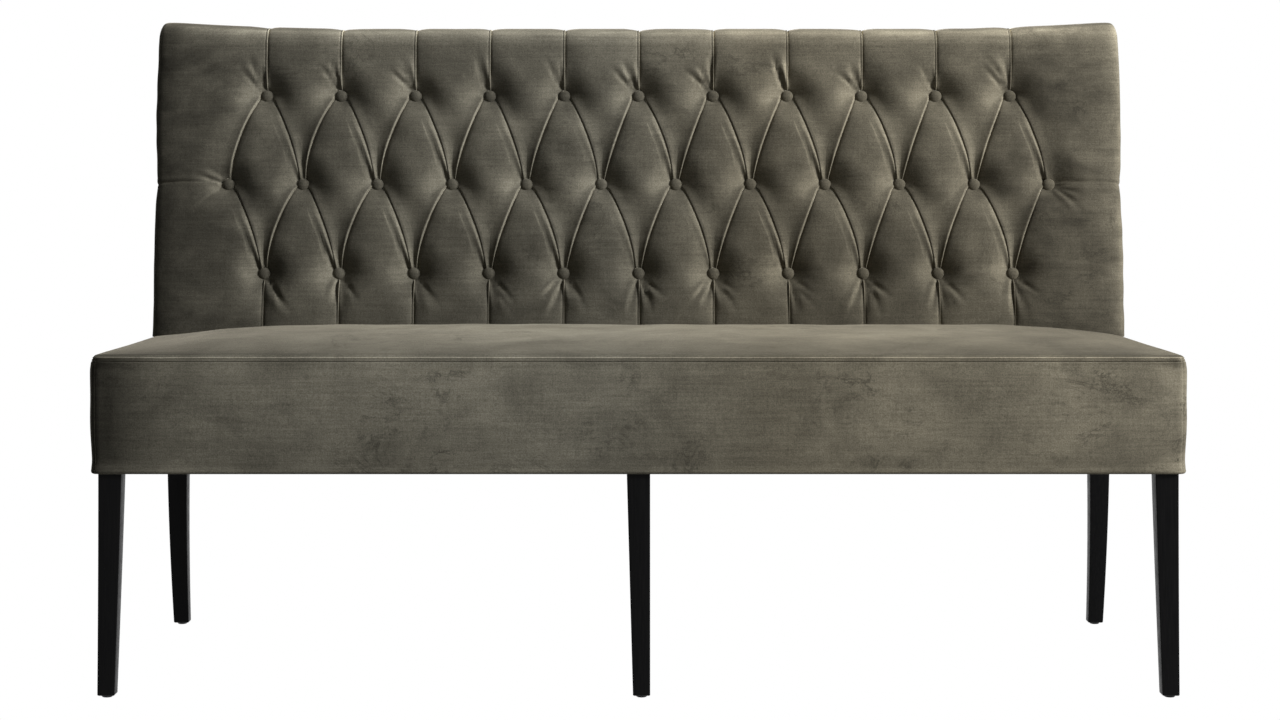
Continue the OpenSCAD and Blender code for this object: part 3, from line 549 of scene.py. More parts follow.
def swollen(rest, outward, seed, cap, slack):
    """How far a blank held by its seams moves outward under pressure, at most by cap; its cloth is uneven by slack."""
    count_u, count_v, _ = rest.shape
    mesh = bpy.data.meshes.new("panel_blank")
    mesh.from_pydata(rest.reshape(-1, 3).tolist(), [], tube_faces(count_u, count_v, closed=False))
    if mesh.polygons[0].normal.dot(Vector(outward)) < 0:
        mesh.flip_normals()
    blank = placed("panel_blank", mesh)
    index = np.arange(count_u * count_v).reshape(count_u, count_v)
    rim = np.concatenate([index[0], index[-1], index[:, 0], index[:, -1]])
    blank.vertex_groups.new(name="seams").add([int(k) for k in rim], 1.0, "REPLACE")
    tight = blank.vertex_groups.new(name="tightness")
    for k, weight in enumerate(np.clip(np.random.default_rng(seed).normal(0.5, 0.3, index.size), 0, 1)):
        tight.add([k], float(weight), "REPLACE")
    cloth = blank.modifiers.new("cover", "CLOTH")
    for name, value in dict(
            quality=6, mass=0.3, bending_stiffness=2.0, air_damping=4.0, use_pressure=True,
            uniform_pressure_force=4.0, vertex_group_mass="seams", vertex_group_shrink="tightness",
            shrink_min=-slack, shrink_max=slack).items():
        setattr(cloth.settings, name, value)
    cloth.settings.effector_weights.gravity = 0.0
    cloth.collision_settings.use_collision = False
    cloth.point_cache.frame_start, cloth.point_cache.frame_end = 1, 20
    for frame_number in range(1, 21):
        bpy.context.scene.frame_set(frame_number)
    settled = blank.evaluated_get(bpy.context.evaluated_depsgraph_get()).data
    found = np.empty(rest.size)
    settled.vertices.foreach_get("co", found)
    move = (found.reshape(rest.shape) - rest) @ np.array(outward, float)
    bpy.data.objects.remove(blank)
    bpy.context.scene.frame_set(1)
    print("panel swells up to", round(float(move.max()) / MM, 1), "mm")
    return cap * np.tanh(move / cap)


# %% [markdown]
# ## The seat
# The seat is a box of foam in a fitted cover: a crowned top panel sewn to a border, with the seam laid down and
# stitched once more 5 mm below. The whole skin is one closed shape: a grid for the top panel, and a wall that hangs
# from its edge row by row, over the lip, into the seam, down the border and under the rails.

# %% Plan of the seat
side_top_in, front_top_in, corner_r, corner_n = 0.0072, 0.003, 0.012, 25
top_half = half_w - side_top_in
seat_depth, tucked_in = 0.5377, 0.0064
crease_y = raked(0, front_r, (seat_top_z - kink_z + front_r * math.sin(lean)) / math.cos(lean))[1] - front_y
under_y = crease_y + 0.022  # the crowned part ends here, hidden under the back
arc = corner_r * np.sin(np.radians(np.linspace(0, 90, corner_n)))
inner_x = gathered(-(top_half - corner_r), top_half - corner_r, 201, 0.3)
plan_x = np.concatenate([-(top_half - corner_r) - arc[::-1], inner_x[1:-1], top_half - corner_r + arc])
plan_y = np.concatenate([gathered(0, under_y, 86, 0.4), under_y + np.array([0.002, 0.006, 0.03, 0.06]),
                         [seat_depth + tucked_in]])
past = np.maximum(0, np.abs(plan_x) - (top_half - corner_r))
front_edge = (front_top_in + corner_r - np.sqrt(np.maximum(0, corner_r ** 2 - past ** 2)))[:, None]
top_x = np.repeat(plan_x[:, None], len(plan_y), 1)
top_y = front_edge * (1 - plan_y / plan_y[-1]) + plan_y
from_side, from_front = top_half - np.abs(top_x), top_y - front_edge
print("seat plan", len(plan_x), "by", len(plan_y), "crease at", round(crease_y, 4))

# %% Crown of the seat
lip_h, shoulder_r, swell_room, held_w = 0.0008, 0.008, 0.0050, 0.02
crown_front, crown_power = 0.190, 2.4
over_x = eased(from_side, np.where(top_x < 0, 0.310, 0.250))
over_x = over_x * np.where(top_x < 0, 0.4 + 0.6 * smoothstep(from_side, 0, 0.13), 1)
over_y = eased(top_y - front_top_in, crown_front, crown_power)
plump = np.where(top_x < 0, 0.0022, 0.0013) * (1 - smoothstep(top_y, 0.02, 0.30))
shoulder = (0.0011 + plump) * np.sqrt(eased(from_side, shoulder_r) * eased(from_front, shoulder_r))
crown = seat_top_z - seam_z - lip_h - swell_room + uneven(top_x, top_y, 3, 0.35, 0.0010)
top_z = seam_z + lip_h + shoulder + crown * over_x * over_y

blank_side, blank_crown = 0.28, 0.0169
blank_x, blank_y = np.meshgrid(np.linspace(-top_half, top_half, 121), np.linspace(0, under_y, 35), indexing="ij")
blank_z = seam_z + blank_crown * eased(top_half - np.abs(blank_x), blank_side) * eased(
    blank_y, crown_front, crown_power)
top_swell = swollen(np.stack([blank_x, blank_y, blank_z], 2), (0, 0, 1), 51, 0.006, 0.0006)
held = smoothstep(np.minimum(from_side, np.minimum(from_front, under_y - top_y)), 0, held_w)
top_z += sampled(top_swell, top_x, top_y, (-top_half, 0.0), (top_half, under_y)) * held
top_z = np.where(plan_y > under_y + 0.001, seam_z - 0.0004, top_z)
print("crown up to", round(float(top_z.max() - seam_z) / MM, 1), "mm over the seam")

# %% Outline of the seat's wall
nx, ny = top_x.shape
edge_index = [*range(ny - 1, 0, -1), *(i * ny for i in range(nx)), *((nx - 1) * ny + j for j in range(1, ny)),
              *(i * ny + ny - 1 for i in range(nx - 2, 0, -1))]
edge_x, edge_y, edge_z = (a.reshape(-1)[edge_index] for a in (top_x, top_y, top_z))
quarter = np.linspace(0, 90, corner_n)
turn = np.concatenate([np.full(ny - 1, -90.0), quarter - 90, np.zeros(nx - 2 * corner_n), quarter,
                       np.full(ny - 1, 90.0), np.full(nx - 2, 180.0)])
out_x, out_y = np.sin(np.radians(turn)), -np.cos(np.radians(turn))
behind = turn == 180
sideways = np.where(behind, 0, out_x ** 2)
run = np.where(np.abs(out_x) > 0.7, edge_y, edge_x)
border_h = seam_z - clear_z
wall_low, wall_high = clear_z + 0.004, seam_z - 0.006


def border_out(t):
    """How far the border stands out from the top outline at height t, from 0 at its foot to 1 at the seam."""
    front = front_top_in * (1 - ((t - 0.62) / (0.38 if t > 0.62 else 0.62)) ** 2)
    drawn_top, drawn_foot = max(0.0, (t - 0.88) / 0.12) ** 2, max(0.0, (0.55 - t) / 0.55) ** 1.5
    side = 0.0073 * (1 - drawn_top) - 0.0033 * drawn_foot
    return front * (1 - sideways) + side * sideways


def border_blank(seed, outward, ends):
    """The swell of one border panel between its ends."""
    u, v = np.meshgrid(np.linspace(*ends, int((ends[1] - ends[0]) / 0.0125)), np.linspace(wall_low, wall_high, 14),
                       indexing="ij")
    flat = [u, 0 * u, v] if outward[1] else [0 * u, u, v]
    return ends, swollen(np.stack(flat, 2), outward, seed, 0.0025, 0.0005)


border_swell = [
    (np.abs(turn) < 45, *border_blank(52, (0, -1, 0), (-0.783, 0.783))),
    ((turn < -45) & ~behind, *border_blank(53, (-1, 0, 0), (0.012, 0.52))),
    ((turn > 45) & ~behind, *border_blank(54, (1, 0, 0), (0.012, 0.52))),
]


def border_fill(z):
    """The swell of the front and side borders round the outline at height z."""
    fill = np.zeros(len(edge_x))
    if not wall_low < z < wall_high:
        return fill
    for here, ends, swell in border_swell:
        places = run[here]
        value = sampled(swell, places, np.full(len(places), z), (ends[0], wall_low), (ends[1], wall_high))
        fill[here] = value * smoothstep(np.minimum(places - ends[0], ends[1] - places), 0, held_w)
    return fill * smoothstep(min(z - wall_low, wall_high - z), 0, held_w)


# %% Wall of the seat
# Rows of the wall: (height above the seam, extra distance out), over the lip, the seam and the stitched strip
seam_rows = [(0.0006, 0.0004), (0.0000, 0.0010), (-0.0007, 0.0011), (-0.0013, 0.0002), (-0.0019, 0.0000),
             (-0.0030, 0.0004), (-0.0042, 0.0004), (-0.0052, 0.0000), (-0.0058, -0.0012), (-0.0064, 0.0000),
             (-0.0074, 0.0002), (-0.0095, 0.0002)]
body_rows = [(-z, 0.0) for z in np.linspace(0.0125, border_h - 0.0060, 34)]
foot_rows = [(z - border_h, out) for z, out in (
    (0.0040, 0.0003), (0.0022, -0.0002), (0.0008, -0.0013), (0.0, -0.0030), (-0.0002, -0.0065), (-0.0001, -0.0105))]
arc_off = np.abs(np.abs(turn) - 45) * corner_r * math.pi / 180
corner_seam = 0.0010 * np.exp(-(arc_off / 0.0012) ** 2) * ~behind
leaned = smoothstep(edge_y, crease_y + 0.05, seat_depth)
hollow_ends = 0.0090 * np.clip((np.abs(edge_x) - 0.67) / 0.124, 0, 1) ** 2 * (1 - smoothstep(edge_y, 0, 0.10))
wall = []
for row, (rise, extra) in enumerate(seam_rows + body_rows + foot_rows):
    t = min(1.0, max(0.0, (rise + border_h) / border_h))
    soft = smoothstep(t, 0, 0.12) * smoothstep(1 - t, 0, 0.10)
    out = border_out(t) + extra + uneven(run, t * border_h, 11, 0.12, 0.0006) * soft + border_fill(seam_z + rise)
    out = out - corner_seam * (rise < -0.0009)
    out = np.where(behind, -0.0003 + 2 * min(0.0, extra + 0.001), out)
    lift = np.maximum(0, seam_z + rise - (kink_z - 0.0017)) * math.tan(lean) - tucked_in
    wall_y = edge_y + out_y * out + lift * leaned + hollow_ends * soft
    wall.append(np.stack([edge_x + out_x * out, wall_y, np.minimum(seam_z + rise, edge_z - 0.0002 * (row + 1))], 1))
print("wall of the seat", len(wall), "rows of", len(edge_index))

# %% Skin of the seat
seat_points = np.concatenate([np.stack([top_x, top_y, top_z], 2).reshape(-1, 3), *wall])
seat_points[:, 1] += front_y
first, ring = nx * ny, len(edge_index)
faces = tube_faces(nx, ny, closed=False)
faces += [(edge_index[k], first + k, first + (k + 1) % ring, edge_index[(k + 1) % ring]) for k in range(ring)]
faces += [tuple(first + v for v in f) for f in tube_faces(len(wall), ring)]
faces.append(tuple(first + (len(wall) - 1) * ring + k for k in range(ring)))
seat_cover = piece("seat_skin", seat_points, faces, velvet_seat)
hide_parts("seat_top_cover", "seat_front_border", "seat_left_border", "seat_right_border", "seat_foam")

# %% [markdown]
# ## The tufted back
# Each button pulls the cloth back into the foam, and the slack between two buttons lies in a pleat. From the top row
# the pleats fan out to the middle row and draw in again to the bottom row, so the cloth hangs in pointed leaves. The
# upper leaf always laps over the lower one, like a roof tile, which keeps dust out of the fold.
# The grid is woven to suit: two of its lines run down either side of every button as the two pleats there, and the
# lines beside them carry the rolled lip and the groove of the fold.

# %% Pleat lines
tops = np.arange(-5, 6) * pitch
between_tops = (np.arange(-6, 6) + 0.5) * pitch
draw = np.random.default_rng(21)
bow_right = draw.uniform(1.45, 1.75, 11)
bow_left = np.concatenate([draw.uniform(1.5, 1.8, 3), draw.uniform(1.15, 1.4, 8)])
low_right = draw.uniform(1.5, 1.8, 11)
low_left = np.concatenate([draw.uniform(1.5, 1.8, 3), draw.uniform(1.25, 1.5, 8)])
# How far a pleat runs beside a button's middle: below it, above it, and beyond the outer rows
leaving, arriving, welt = 0.0085, 0.0042, 0.0010
settle = 0.010


def pleat_x(z):
    """Where the 22 pleat lines cross height z of the rake: left and right of each button of the top row."""
    if z >= rows[2]:
        near = leaving + (welt - leaving) * smoothstep(z, rows[2] - 0.001, rows[2] + settle)
        left, right = tops - near, tops + near
    elif z >= rows[1]:
        t, reach = (rows[2] - z) / row_step, pitch / 2 - leaving - arriving
        left, right = tops - leaving - reach * eased(t, 1, bow_left), tops + leaving + reach * eased(t, 1, bow_right)
    elif z >= rows[0]:
        t, near = (rows[1] - z) / row_step, arriving + (leaving - arriving) * smoothstep(rows[1] - z, 0, settle)
        reach = pitch / 2 - near - arriving
        left = tops - pitch / 2 + near + reach * eased(t, 1, low_right)
        right = tops + pitch / 2 - near - reach * eased(t, 1, low_left)
    else:
        near = arriving + (welt - arriving) * smoothstep(rows[0] - z, 0, settle)
        left, right = tops - near, tops + near
    return np.stack([left, right], 1).reshape(-1)


# The fold across a pleat, as distance from the line and depth. "left" is a lip whose drop faces right, so it stands
# open to the light; "right" is a lip that leans over its own groove. Each has the side that lies under it.
lip = {
    "left": np.array([[-0.2, 0.6, 1.4, 2.3, 3.4, 5.6, 17.0], [2.2, 1.0, -0.5, -1.5, -1.8, -0.7, 0.0]]) * MM,
    "right": np.array([[-0.4, -0.1, 0.5, 1.4, 2.8, 7.0, 17.0], [1.0, 0.1, -0.6, -1.2, -1.5, -0.8, 0.0]]) * MM,
}
under_off = np.array([0.8, 1.7, 2.8, 4.4, 6.8, 10.5, 17.0]) * MM
under = {
    "left": np.array([2.3, 1.6, 1.0, 0.6, 0.3, 0.1, 0.0]) * MM,
    "right": np.array([1.6, 0.9, 0.5, 0.3, 0.1, 0.0, 0.0]) * MM,
}
fold_w = 17.0 * MM
groove_deep, undercut, open_groove = 2.4 * MM, 0.4 * MM, 0.7
between, outer_n = 26, 34
roll_x, roll_y = 0.045, 0.022
edge = half_w - roll_x
print("pleat lines", len(pleat_x(0.35)))


# %% Heights and columns of the grid
def crowded(low, high, count):
    """Heights from low to high that crowd towards both ends, where the buttons are."""
    t = np.linspace(-1, 1, count)
    return low + (high - low) * (np.sign(t) * eased(np.abs(t), 1, 1.5) + 1) / 2


top_r = 0.032
foot_z = (seam_z + 0.0003 - kink_z + front_r * math.sin(lean)) / math.cos(lean)
heights = np.concatenate([
    foot_z + (rows[0] - foot_z) * np.linspace(0, 1, 34) ** 0.85,
    crowded(rows[0], rows[1], 46)[1:],
    crowded(rows[1], rows[2], 46)[1:],
    rows[2] + (back_l - top_r - rows[2]) * np.linspace(0, 1, 36)[1:] ** 1.15,
])


def between_rows(z, blend):
    """1 between the middle and the top row, 0 elsewhere, changing over that height."""
    return smoothstep(z, rows[1] - blend, rows[1] + blend) * (1 - smoothstep(z, rows[2] - blend, rows[2] + blend))


def lap_share(z, leaf_strip):
    """How far a strip is the sunk, lapping kind at height z (1) or the domed kind that lies under (0)."""
    if leaf_strip:
        return 1 - float(smoothstep(z, rows[1] - 0.035, rows[1] + 0.035))
    return float(between_rows(z, 0.035))


def half_fold(z, s, at_right_end, leaf, room):
    """Offsets and depths of the fold at one end of strip s, and how much of the fold there is."""
    laps = ((leaf if s % 2 == 1 else -leaf) + 1) / 2
    kind, other = ("left", "right") if at_right_end else ("right", "left")
    squeeze = min(1.0, room / fold_w)
    plain = (s if at_right_end else s - 1) % 2 == 0
    straight = float(np.maximum(smoothstep(z, rows[2], rows[2] + settle), smoothstep(rows[0] - z, 0, settle)))
    size = squeeze ** 0.5 * (1 - 0.65 * straight * plain)
    off = (lip[kind][0] * laps + under_off * (1 - laps)) * squeeze
    return off, (lip[kind][1] * laps + under[other] * (1 - laps)) * size, size


def columns_at(z):
    """x, depth of the fold, distance to the nearest line, width of the strip and lap share for each column."""
    bounds = np.concatenate([[-edge], pleat_x(z), [edge]])
    # +1 where the strip between the two lines of a button has the lips, -1 where the strips beside it have them
    leaf = 1 - 2 * float(between_rows(z, 0.005))
    parts = []
    for s, (low, high) in enumerate(zip(bounds[:-1], bounds[1:])):
        width = high - low
        outer = s in (0, len(bounds) - 2)
        room = (width if outer else width / 2) - 0.0004
        left_off, left_deep, _ = half_fold(z, s, False, leaf, room)
        right_off, right_deep, size = half_fold(z, s, True, leaf, room)
        left_x, right_x, right_deep = low + left_off, (high - right_off)[::-1], right_deep[::-1]
        if s == 0:
            inside = np.linspace(low, right_x[0], outer_n + 1)[:-1]
            x, deep = np.concatenate([inside, right_x]), np.concatenate([0 * inside, right_deep])
            dist = high - x
        elif outer:
            inside = np.linspace(left_x[-1], high, outer_n + 1)[1:]
            x, deep = np.concatenate([left_x, inside]), np.concatenate([left_deep, 0 * inside])
            dist = x - low
        else:
            inside = np.linspace(left_x[-1], right_x[0], between + 2)[1:-1]
            middle = np.linspace(left_deep[-1], right_deep[0], between + 2)[1:-1]
            x, deep = np.concatenate([left_x, inside, right_x]), np.concatenate([left_deep, middle, right_deep])
            dist = np.minimum(x - low, high - x)
        laps, same = lap_share(z, s % 2 == 1), np.ones(len(x))
        parts.append((x, deep, np.maximum(dist, 0), same * (2 * width if outer else width), same * laps))
        if s < len(bounds) - 2:
            toward = 1 if (leaf > 0) == (s % 2 == 0) else -1
            groove_x = high + toward * undercut * min(1.0, room / fold_w) * abs(leaf)
            deep = groove_deep * size * (open_groove if toward > 0 else 1.0)
            parts.append(([groove_x], [deep], [0.0], [width], [laps]))
    return tuple(np.concatenate(column) for column in zip(*parts))


face_x, fold, dist, span, lap = (np.stack(part) for part in zip(*(columns_at(z) for z in heights)))
face_n = face_x.shape[1]
face_z = np.repeat(heights[:, None], face_n, 1)
print("face grid", face_x.shape)

# %% Depth of the face
buttons = [(x, rows[0]) for x in tops] + [(x, rows[1]) for x in between_tops] + [(x, rows[2]) for x in tops]
valley_deep, dome_reach, trough_reach = 0.0070, 0.036, 0.054
button_rim, dimple_reach, dimple_deep, deepest, puff = 0.006, 0.054, 0.0235, 0.0225, 0.0025
soft_floor = 0.0012                            # the depth levels off over this much before the deepest
fall_from, fall_run, fall_deep = 0.665, 0.135, 0.0100
side_deep, side_wide, side_sag = 1.3 * MM, 0.0017, 0.004


def broad_depth(x, z, dist, span, lap):
    """The soft shape of the tufts: domes where the cloth lies under, troughs where it laps over, and the dimples."""
    half = np.clip(span / 2, 0.002, dome_reach)
    dome = 1 - eased(half, dome_reach) * eased(dist, half)
    half = np.clip(span / 2, 0.002, trough_reach)
    wide = smoothstep(half, 0.024, trough_reach + 0.004)
    trough = 1 + (0.50 - 1.50 * wide) * (0.5 - 0.5 * np.cos(math.pi * np.clip(dist / half, 0, 1)))
    fade = 1 - 0.75 * smoothstep(z, rows[2] + 0.01, back_l - 0.01) - 0.35 * smoothstep(-z, -rows[0] + 0.02, -foot_z)
    pull = np.zeros_like(x)
    for bx, bz in buttons:
        r = np.maximum(0, np.hypot((x - bx) / 1.06, z - bz) - button_rim)
        pull = np.maximum(pull, np.clip(1 - r / dimple_reach, 0, 1) ** 1.9)
    swell = puff * (1 - smoothstep(np.abs(x), 0.66, 0.78)) * (1 - smoothstep(z, rows[2] + 0.03, back_l - 0.03))
    return valley_deep * fade * (dome * (1 - lap) + trough * lap) * (1 - pull) + dimple_deep * pull - swell


def end_fall(x, z):
    """The ends of the stuffing fall away a little towards the sides."""
    near = np.clip((np.abs(x) - fall_from) / fall_run, 0, 1) ** 2
    return fall_deep * near * (0.4 + 0.6 * smoothstep(z, foot_z, foot_z + 0.08))


def bump_line(off, wide):
    return np.exp(-(off / wide) ** 2)


def fans(x, z):
    """Pulls in the cloth that fan out from the buttons of the outer rows, down to the seat and up to the top edge."""
    pulls = np.random.default_rng(5)
    depth = np.zeros_like(x)
    for bx, bz in buttons:
        if bz == rows[1] and abs(bx) < 0.65:
            continue
        angle = np.degrees(np.arctan2(x - bx, z - bz))
        r = np.hypot(x - bx, z - bz)
        if bz == rows[0]:
            middle = [180 - a for a in (pulls.uniform(13, 17), pulls.uniform(25, 30), pulls.uniform(38, 45))]
            middle += [-180 + a for a in (pulls.uniform(10, 16), pulls.uniform(27, 38))][:pulls.integers(0, 3)]
        elif bz == rows[2]:
            middle = [-pulls.uniform(9, 14), -pulls.uniform(22, 30), -pulls.uniform(37, 50)][:pulls.integers(2, 4)]
        else:
            middle = [math.copysign(a, bx) for a in (74, 97, 109, 122)]
        for at in middle:
            reach, size = pulls.uniform(0.056, 0.092), pulls.uniform(2.2, 3.6) * MM
            bend = pulls.uniform(-3, 3)
            off = (angle - at) * math.pi / 180 * r - bend * r ** 2
            wide = 0.0014 + 0.062 * r
            along = smoothstep(r, 0.009, 0.018) * (1 - smoothstep(r, 0.40 * reach, reach))
            depth += size * along * (bump_line(off, wide) - 0.8 * bump_line(off - 1.9 * wide, 1.2 * wide))
    return depth


def side_pleats(x, z):
    """The level pleats that run from the end buttons of the middle row round the sides."""
    start = 5.5 * pitch
    past = smoothstep(np.abs(x), start + 0.012, start + 0.045)
    off = z - rows[1] - side_sag * np.sin((np.abs(x) - start) * 22)
    groove = side_deep * bump_line(off, side_wide) - 1.0 * MM * bump_line(off - 0.0050, 0.0036)
    return past * (groove + 2.2 * MM * np.clip(1 - np.abs(off) / 0.036, 0, 1) ** 2)


def second_folds(x, z):
    """A shallow second line inside many leaves, left of the fold that runs down to the right."""
    pulls = np.random.default_rng(9)
    depth = np.zeros_like(x)
    reach = pitch / 2 - leaving - arriving
    for upper, firsts, spread in ((2, tops, bow_right), (1, between_tops[:-1], low_right)):
        t = np.clip((rows[upper] - z) / row_step, 0, 1)
        inside = (z < rows[upper]) & (z > rows[upper - 1])
        for bx, bow in zip(firsts, spread):
            size = pulls.choice([0.8, 1.6, 2.4, 3.2]) * MM
            off = x - bx - leaving - reach * eased(t, 1, bow) + 0.019 * (1 - t) ** 0.5 * smoothstep(t, 0, 0.35)
            along = smoothstep(t, 0.22, 0.5) * (1 - smoothstep(t, 0.93, 1.0)) * inside
            depth += size * along * (bump_line(off, 0.0030) - 0.7 * bump_line(off - 0.0062, 0.0036))
    return depth


face_depth = fold + broad_depth(face_x, face_z, dist, span, lap) + fans(face_x, face_z)
face_depth += side_pleats(face_x, face_z) + second_folds(face_x, face_z)
face_depth += uneven(face_x, face_z, 17, 0.10, 0.0006) + end_fall(face_x, face_z)
face_depth = deepest - np.log1p(np.exp((deepest - face_depth) / soft_floor)) * soft_floor
print("depth of the tufts up to", round(float(face_depth.max()) / MM, 1), "mm")

# %% [markdown]
# ## The back as one skin
# The tufted face rolls round both ends into plain sides, and over the top edge. The skin is a stack of closed rings:
# along the face, round the corner, down the side, along the rear and back again. The depth is taken along each point's
# own outward direction, so the pleats turn the corners as the cloth does.

# %% Rings of the back
turn_n, side_n, rear_n = 14, 12, 60
rear_proud = 0.00015              # the rear wall just covers the frame's rear face
corner_rise, rise_from = 0.012, 0.54  # the top edge rises towards its corners, from this share of half the length
theta = np.linspace(0, math.pi / 2, turn_n + 1)[1:]
end_px = np.concatenate([edge + roll_x * np.sin(theta) ** 0.9, np.full(side_n, half_w)])
end_py = np.concatenate([front_r + roll_y * (1 - np.cos(theta) ** 0.9),
                         np.linspace(front_r + roll_y, rear_r - 0.0005, side_n + 1)[1:]])
end_s = edge + np.cumsum(np.hypot(np.diff(end_px, prepend=edge), np.diff(end_py, prepend=front_r)))
tangent_x, tangent_y = np.gradient(end_px), np.gradient(end_py)
size = np.hypot(tangent_x, tangent_y)
end_nx, end_ny = tangent_y / size, -tangent_x / size
rear_px = np.linspace(half_w - 0.002, -half_w + 0.002, rear_n)
ring_n = face_n + 2 * len(end_px) + rear_n


def hump(v, low, length):
    return np.sin(math.pi * np.clip((v - low) / length, 0, 1)) ** 2


def side_swell(z):
    step = (z - rows[0]) / row_step
    return 0.001 + 0.003 * (0.7 * hump(step, -0.6, 1.6) + hump(step, 1, 1.9))


def top_rise(x):
    return corner_rise * np.clip((np.abs(x) / half_w - rise_from) / (1 - rise_from), 0, 1) ** 2


def end_depth(z, side):
    s, zs = side * end_s, np.full(len(end_s), z)
    depth = side_pleats(s, zs) * (1 - smoothstep(end_s, 0.80, 0.885)) + fans(s, zs) + uneven(s, zs, 17, 0.10, 0.0006)
    depth = depth + end_fall(np.minimum(end_s, half_w), zs) * (1 - smoothstep(end_s, half_w - 0.03, half_w + 0.03))
    return depth * (1 - smoothstep(end_s, end_s[-1] - 0.006, end_s[-1]))


def in_ring(face, right, rear, left):
    """One ring: face, right end, rear and left end; the ends are given from front to rear."""
    return np.concatenate([np.full(face_n, face), right, np.full(rear_n, rear), left[::-1]])


normal_x, normal_y = in_ring(0, end_nx, 0, -end_nx), in_ring(-1, end_ny, 1, end_ny)
ring_x = np.array([in_ring(x, end_px, rear_px, -end_px) for x in face_x])
ring_y = np.array([in_ring(front_r, end_py, rear_r + rear_proud, end_py)] * len(heights))
ring_d = np.array([in_ring(d, end_depth(z, 1), 0, end_depth(z, -1)) for z, d in zip(heights, face_depth)])
ring_z = np.repeat(heights[:, None], ring_n, 1)
print("rings", ring_x.shape)

# %% Roll over the top and close
deep_y = rear_r - front_r
rail_cover = 0.008                # the rear wall stays upright this far, to cover the top rail
end_draw, draw_w = 0.4, 0.11      # how much the ends draw in, and over which width
rear_draw, rear_band = 0.03, 0.02  # how much the rear edge draws in, and the depth over which it begins
crest, crest_bow = 0.002, 0.0025


def drawn_in(x, y, q):
    """The outline moved in by q, square to each side, with the rear edge left almost where it is."""
    past = np.maximum(0, np.abs(x) - (half_w - draw_w))
    ahead = np.clip((rear_r - y) / rear_band, 0, 1)
    inwards = rear_draw * (q * ahead + max(0.0, q - rail_cover) * (1 - ahead))
    return (x - np.sign(x) * past * end_draw * q / draw_w,
            rear_r - inwards + (y - rear_r) * (deep_y - (1 - rear_draw) * q) / deep_y)


swell = side_swell(ring_z) * smoothstep(np.abs(ring_x), edge - 0.03, half_w)
px = list(ring_x + np.sign(ring_x) * swell - normal_x * ring_d)
py = list(ring_y - normal_y * ring_d)
pz = list(ring_z + top_rise(ring_x) * smoothstep(ring_z, rows[2] + 0.01, back_l - top_r))
last_x, last_y, last_d = ring_x[-1] + np.sign(ring_x[-1]) * swell[-1], ring_y[-1], ring_d[-1]
last_z, ahead = back_l + top_rise(last_x), normal_y < 0.5
last_fall = end_fall(np.minimum(np.abs(last_x), half_w), np.full(ring_n, heights[-1])) * ahead
sunk = np.maximum(last_d - last_fall, 0) * ahead
for phi in np.radians(np.linspace(0, 90, 13)[1:]):
    x, y = drawn_in(last_x, last_y, top_r * (1 - math.cos(phi)))
    px.append(x - normal_x * last_d * math.cos(phi))
    py.append(y - normal_y * last_d * math.cos(phi))
    pz.append(last_z - top_r + (top_r + crest - sunk) * math.sin(phi))
for q in np.linspace(top_r, deep_y - 0.006, 15)[1:]:
    share = (q - top_r) / (deep_y - top_r)
    x, y = drawn_in(last_x, last_y, q)
    px.append(x)
    py.append(y)
    pz.append(last_z + crest - sunk * (1 - 0.75 * share) + crest_bow * math.sin(math.pi * share) * ahead)
px, py, pz = np.array(px), np.array(py), np.array(pz)
pz = pz + (py - front_r) * math.tan(lean) * (1 - smoothstep(pz, heights[0], heights[0] + 0.08))
back_points = np.stack(raked(px, py, pz), 2).reshape(-1, 3)
back_cover = piece("tufted_skin", back_points, capped_tube(len(px), ring_n), velvet_back)
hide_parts("back_cover", "back_foam")

# %% [markdown]
# ## Geometry Nodes
# What repeats or follows a rule is made by a node tree: a short script builds the tree with named inputs, a modifier
# runs it, and the result is kept as a plain mesh.


# %% Helpers for Geometry Nodes
class Tree(Nodes):
    """A Geometry Nodes tree with named inputs."""

    def __init__(self, name, sizes):
        super().__init__(bpy.data.node_groups.new(name, "GeometryNodeTree"))
        new_socket = self.tree.interface.new_socket
        new_socket("Geometry", in_out="INPUT", socket_type="NodeSocketGeometry")
        for label, value in sizes.items():
            kind = "NodeSocketInt" if isinstance(value, int) else "NodeSocketFloat"
            new_socket(label, in_out="INPUT", socket_type=kind).default_value = value
        new_socket("Geometry", in_out="OUTPUT", socket_type="NodeSocketGeometry")
        self.inputs = self.node("NodeGroupInput").outputs

    def geo(self, kind, settings=None, **inputs):
        return self.node("GeometryNode" + kind, settings, **inputs).outputs[0]

    def end(self, geometry, finish):
        real = self.geo("RealizeInstances", Geometry=geometry)
        dressed = self.geo("SetMaterial", Geometry=real, Material=finish)
        smooth = self.geo("SetShadeSmooth", Geometry=dressed)
        self.node("NodeGroupOutput", Geometry=smooth)
        return self.tree


def grow(name, tree, slot, points=(), edges=(), **sizes):
    """Run a tree on the given points and edges, and keep the result as a plain mesh that rides on the bench."""
    start = bpy.data.meshes.new(name + "_start")
    start.from_pydata([tuple(p) for p in points], [tuple(e) for e in edges], [])
    maker = placed(name + "_start", start)
    run = maker.modifiers.new("grow", "NODES")
    run.node_group = tree
    sockets = {s.name: s.identifier for s in tree.interface.items_tree if s.in_out == "INPUT"}
    for label, value in sizes.items():
        run[sockets[label.replace("_", " ")]] = value
    bpy.context.view_layer.update()
    mesh = bpy.data.meshes.new_from_object(maker.evaluated_get(bpy.context.evaluated_depsgraph_get()))
    maker.modifiers.remove(run)
    bpy.data.objects.remove(maker)
    mesh.name = name
    return on_bench(placed(name, mesh))


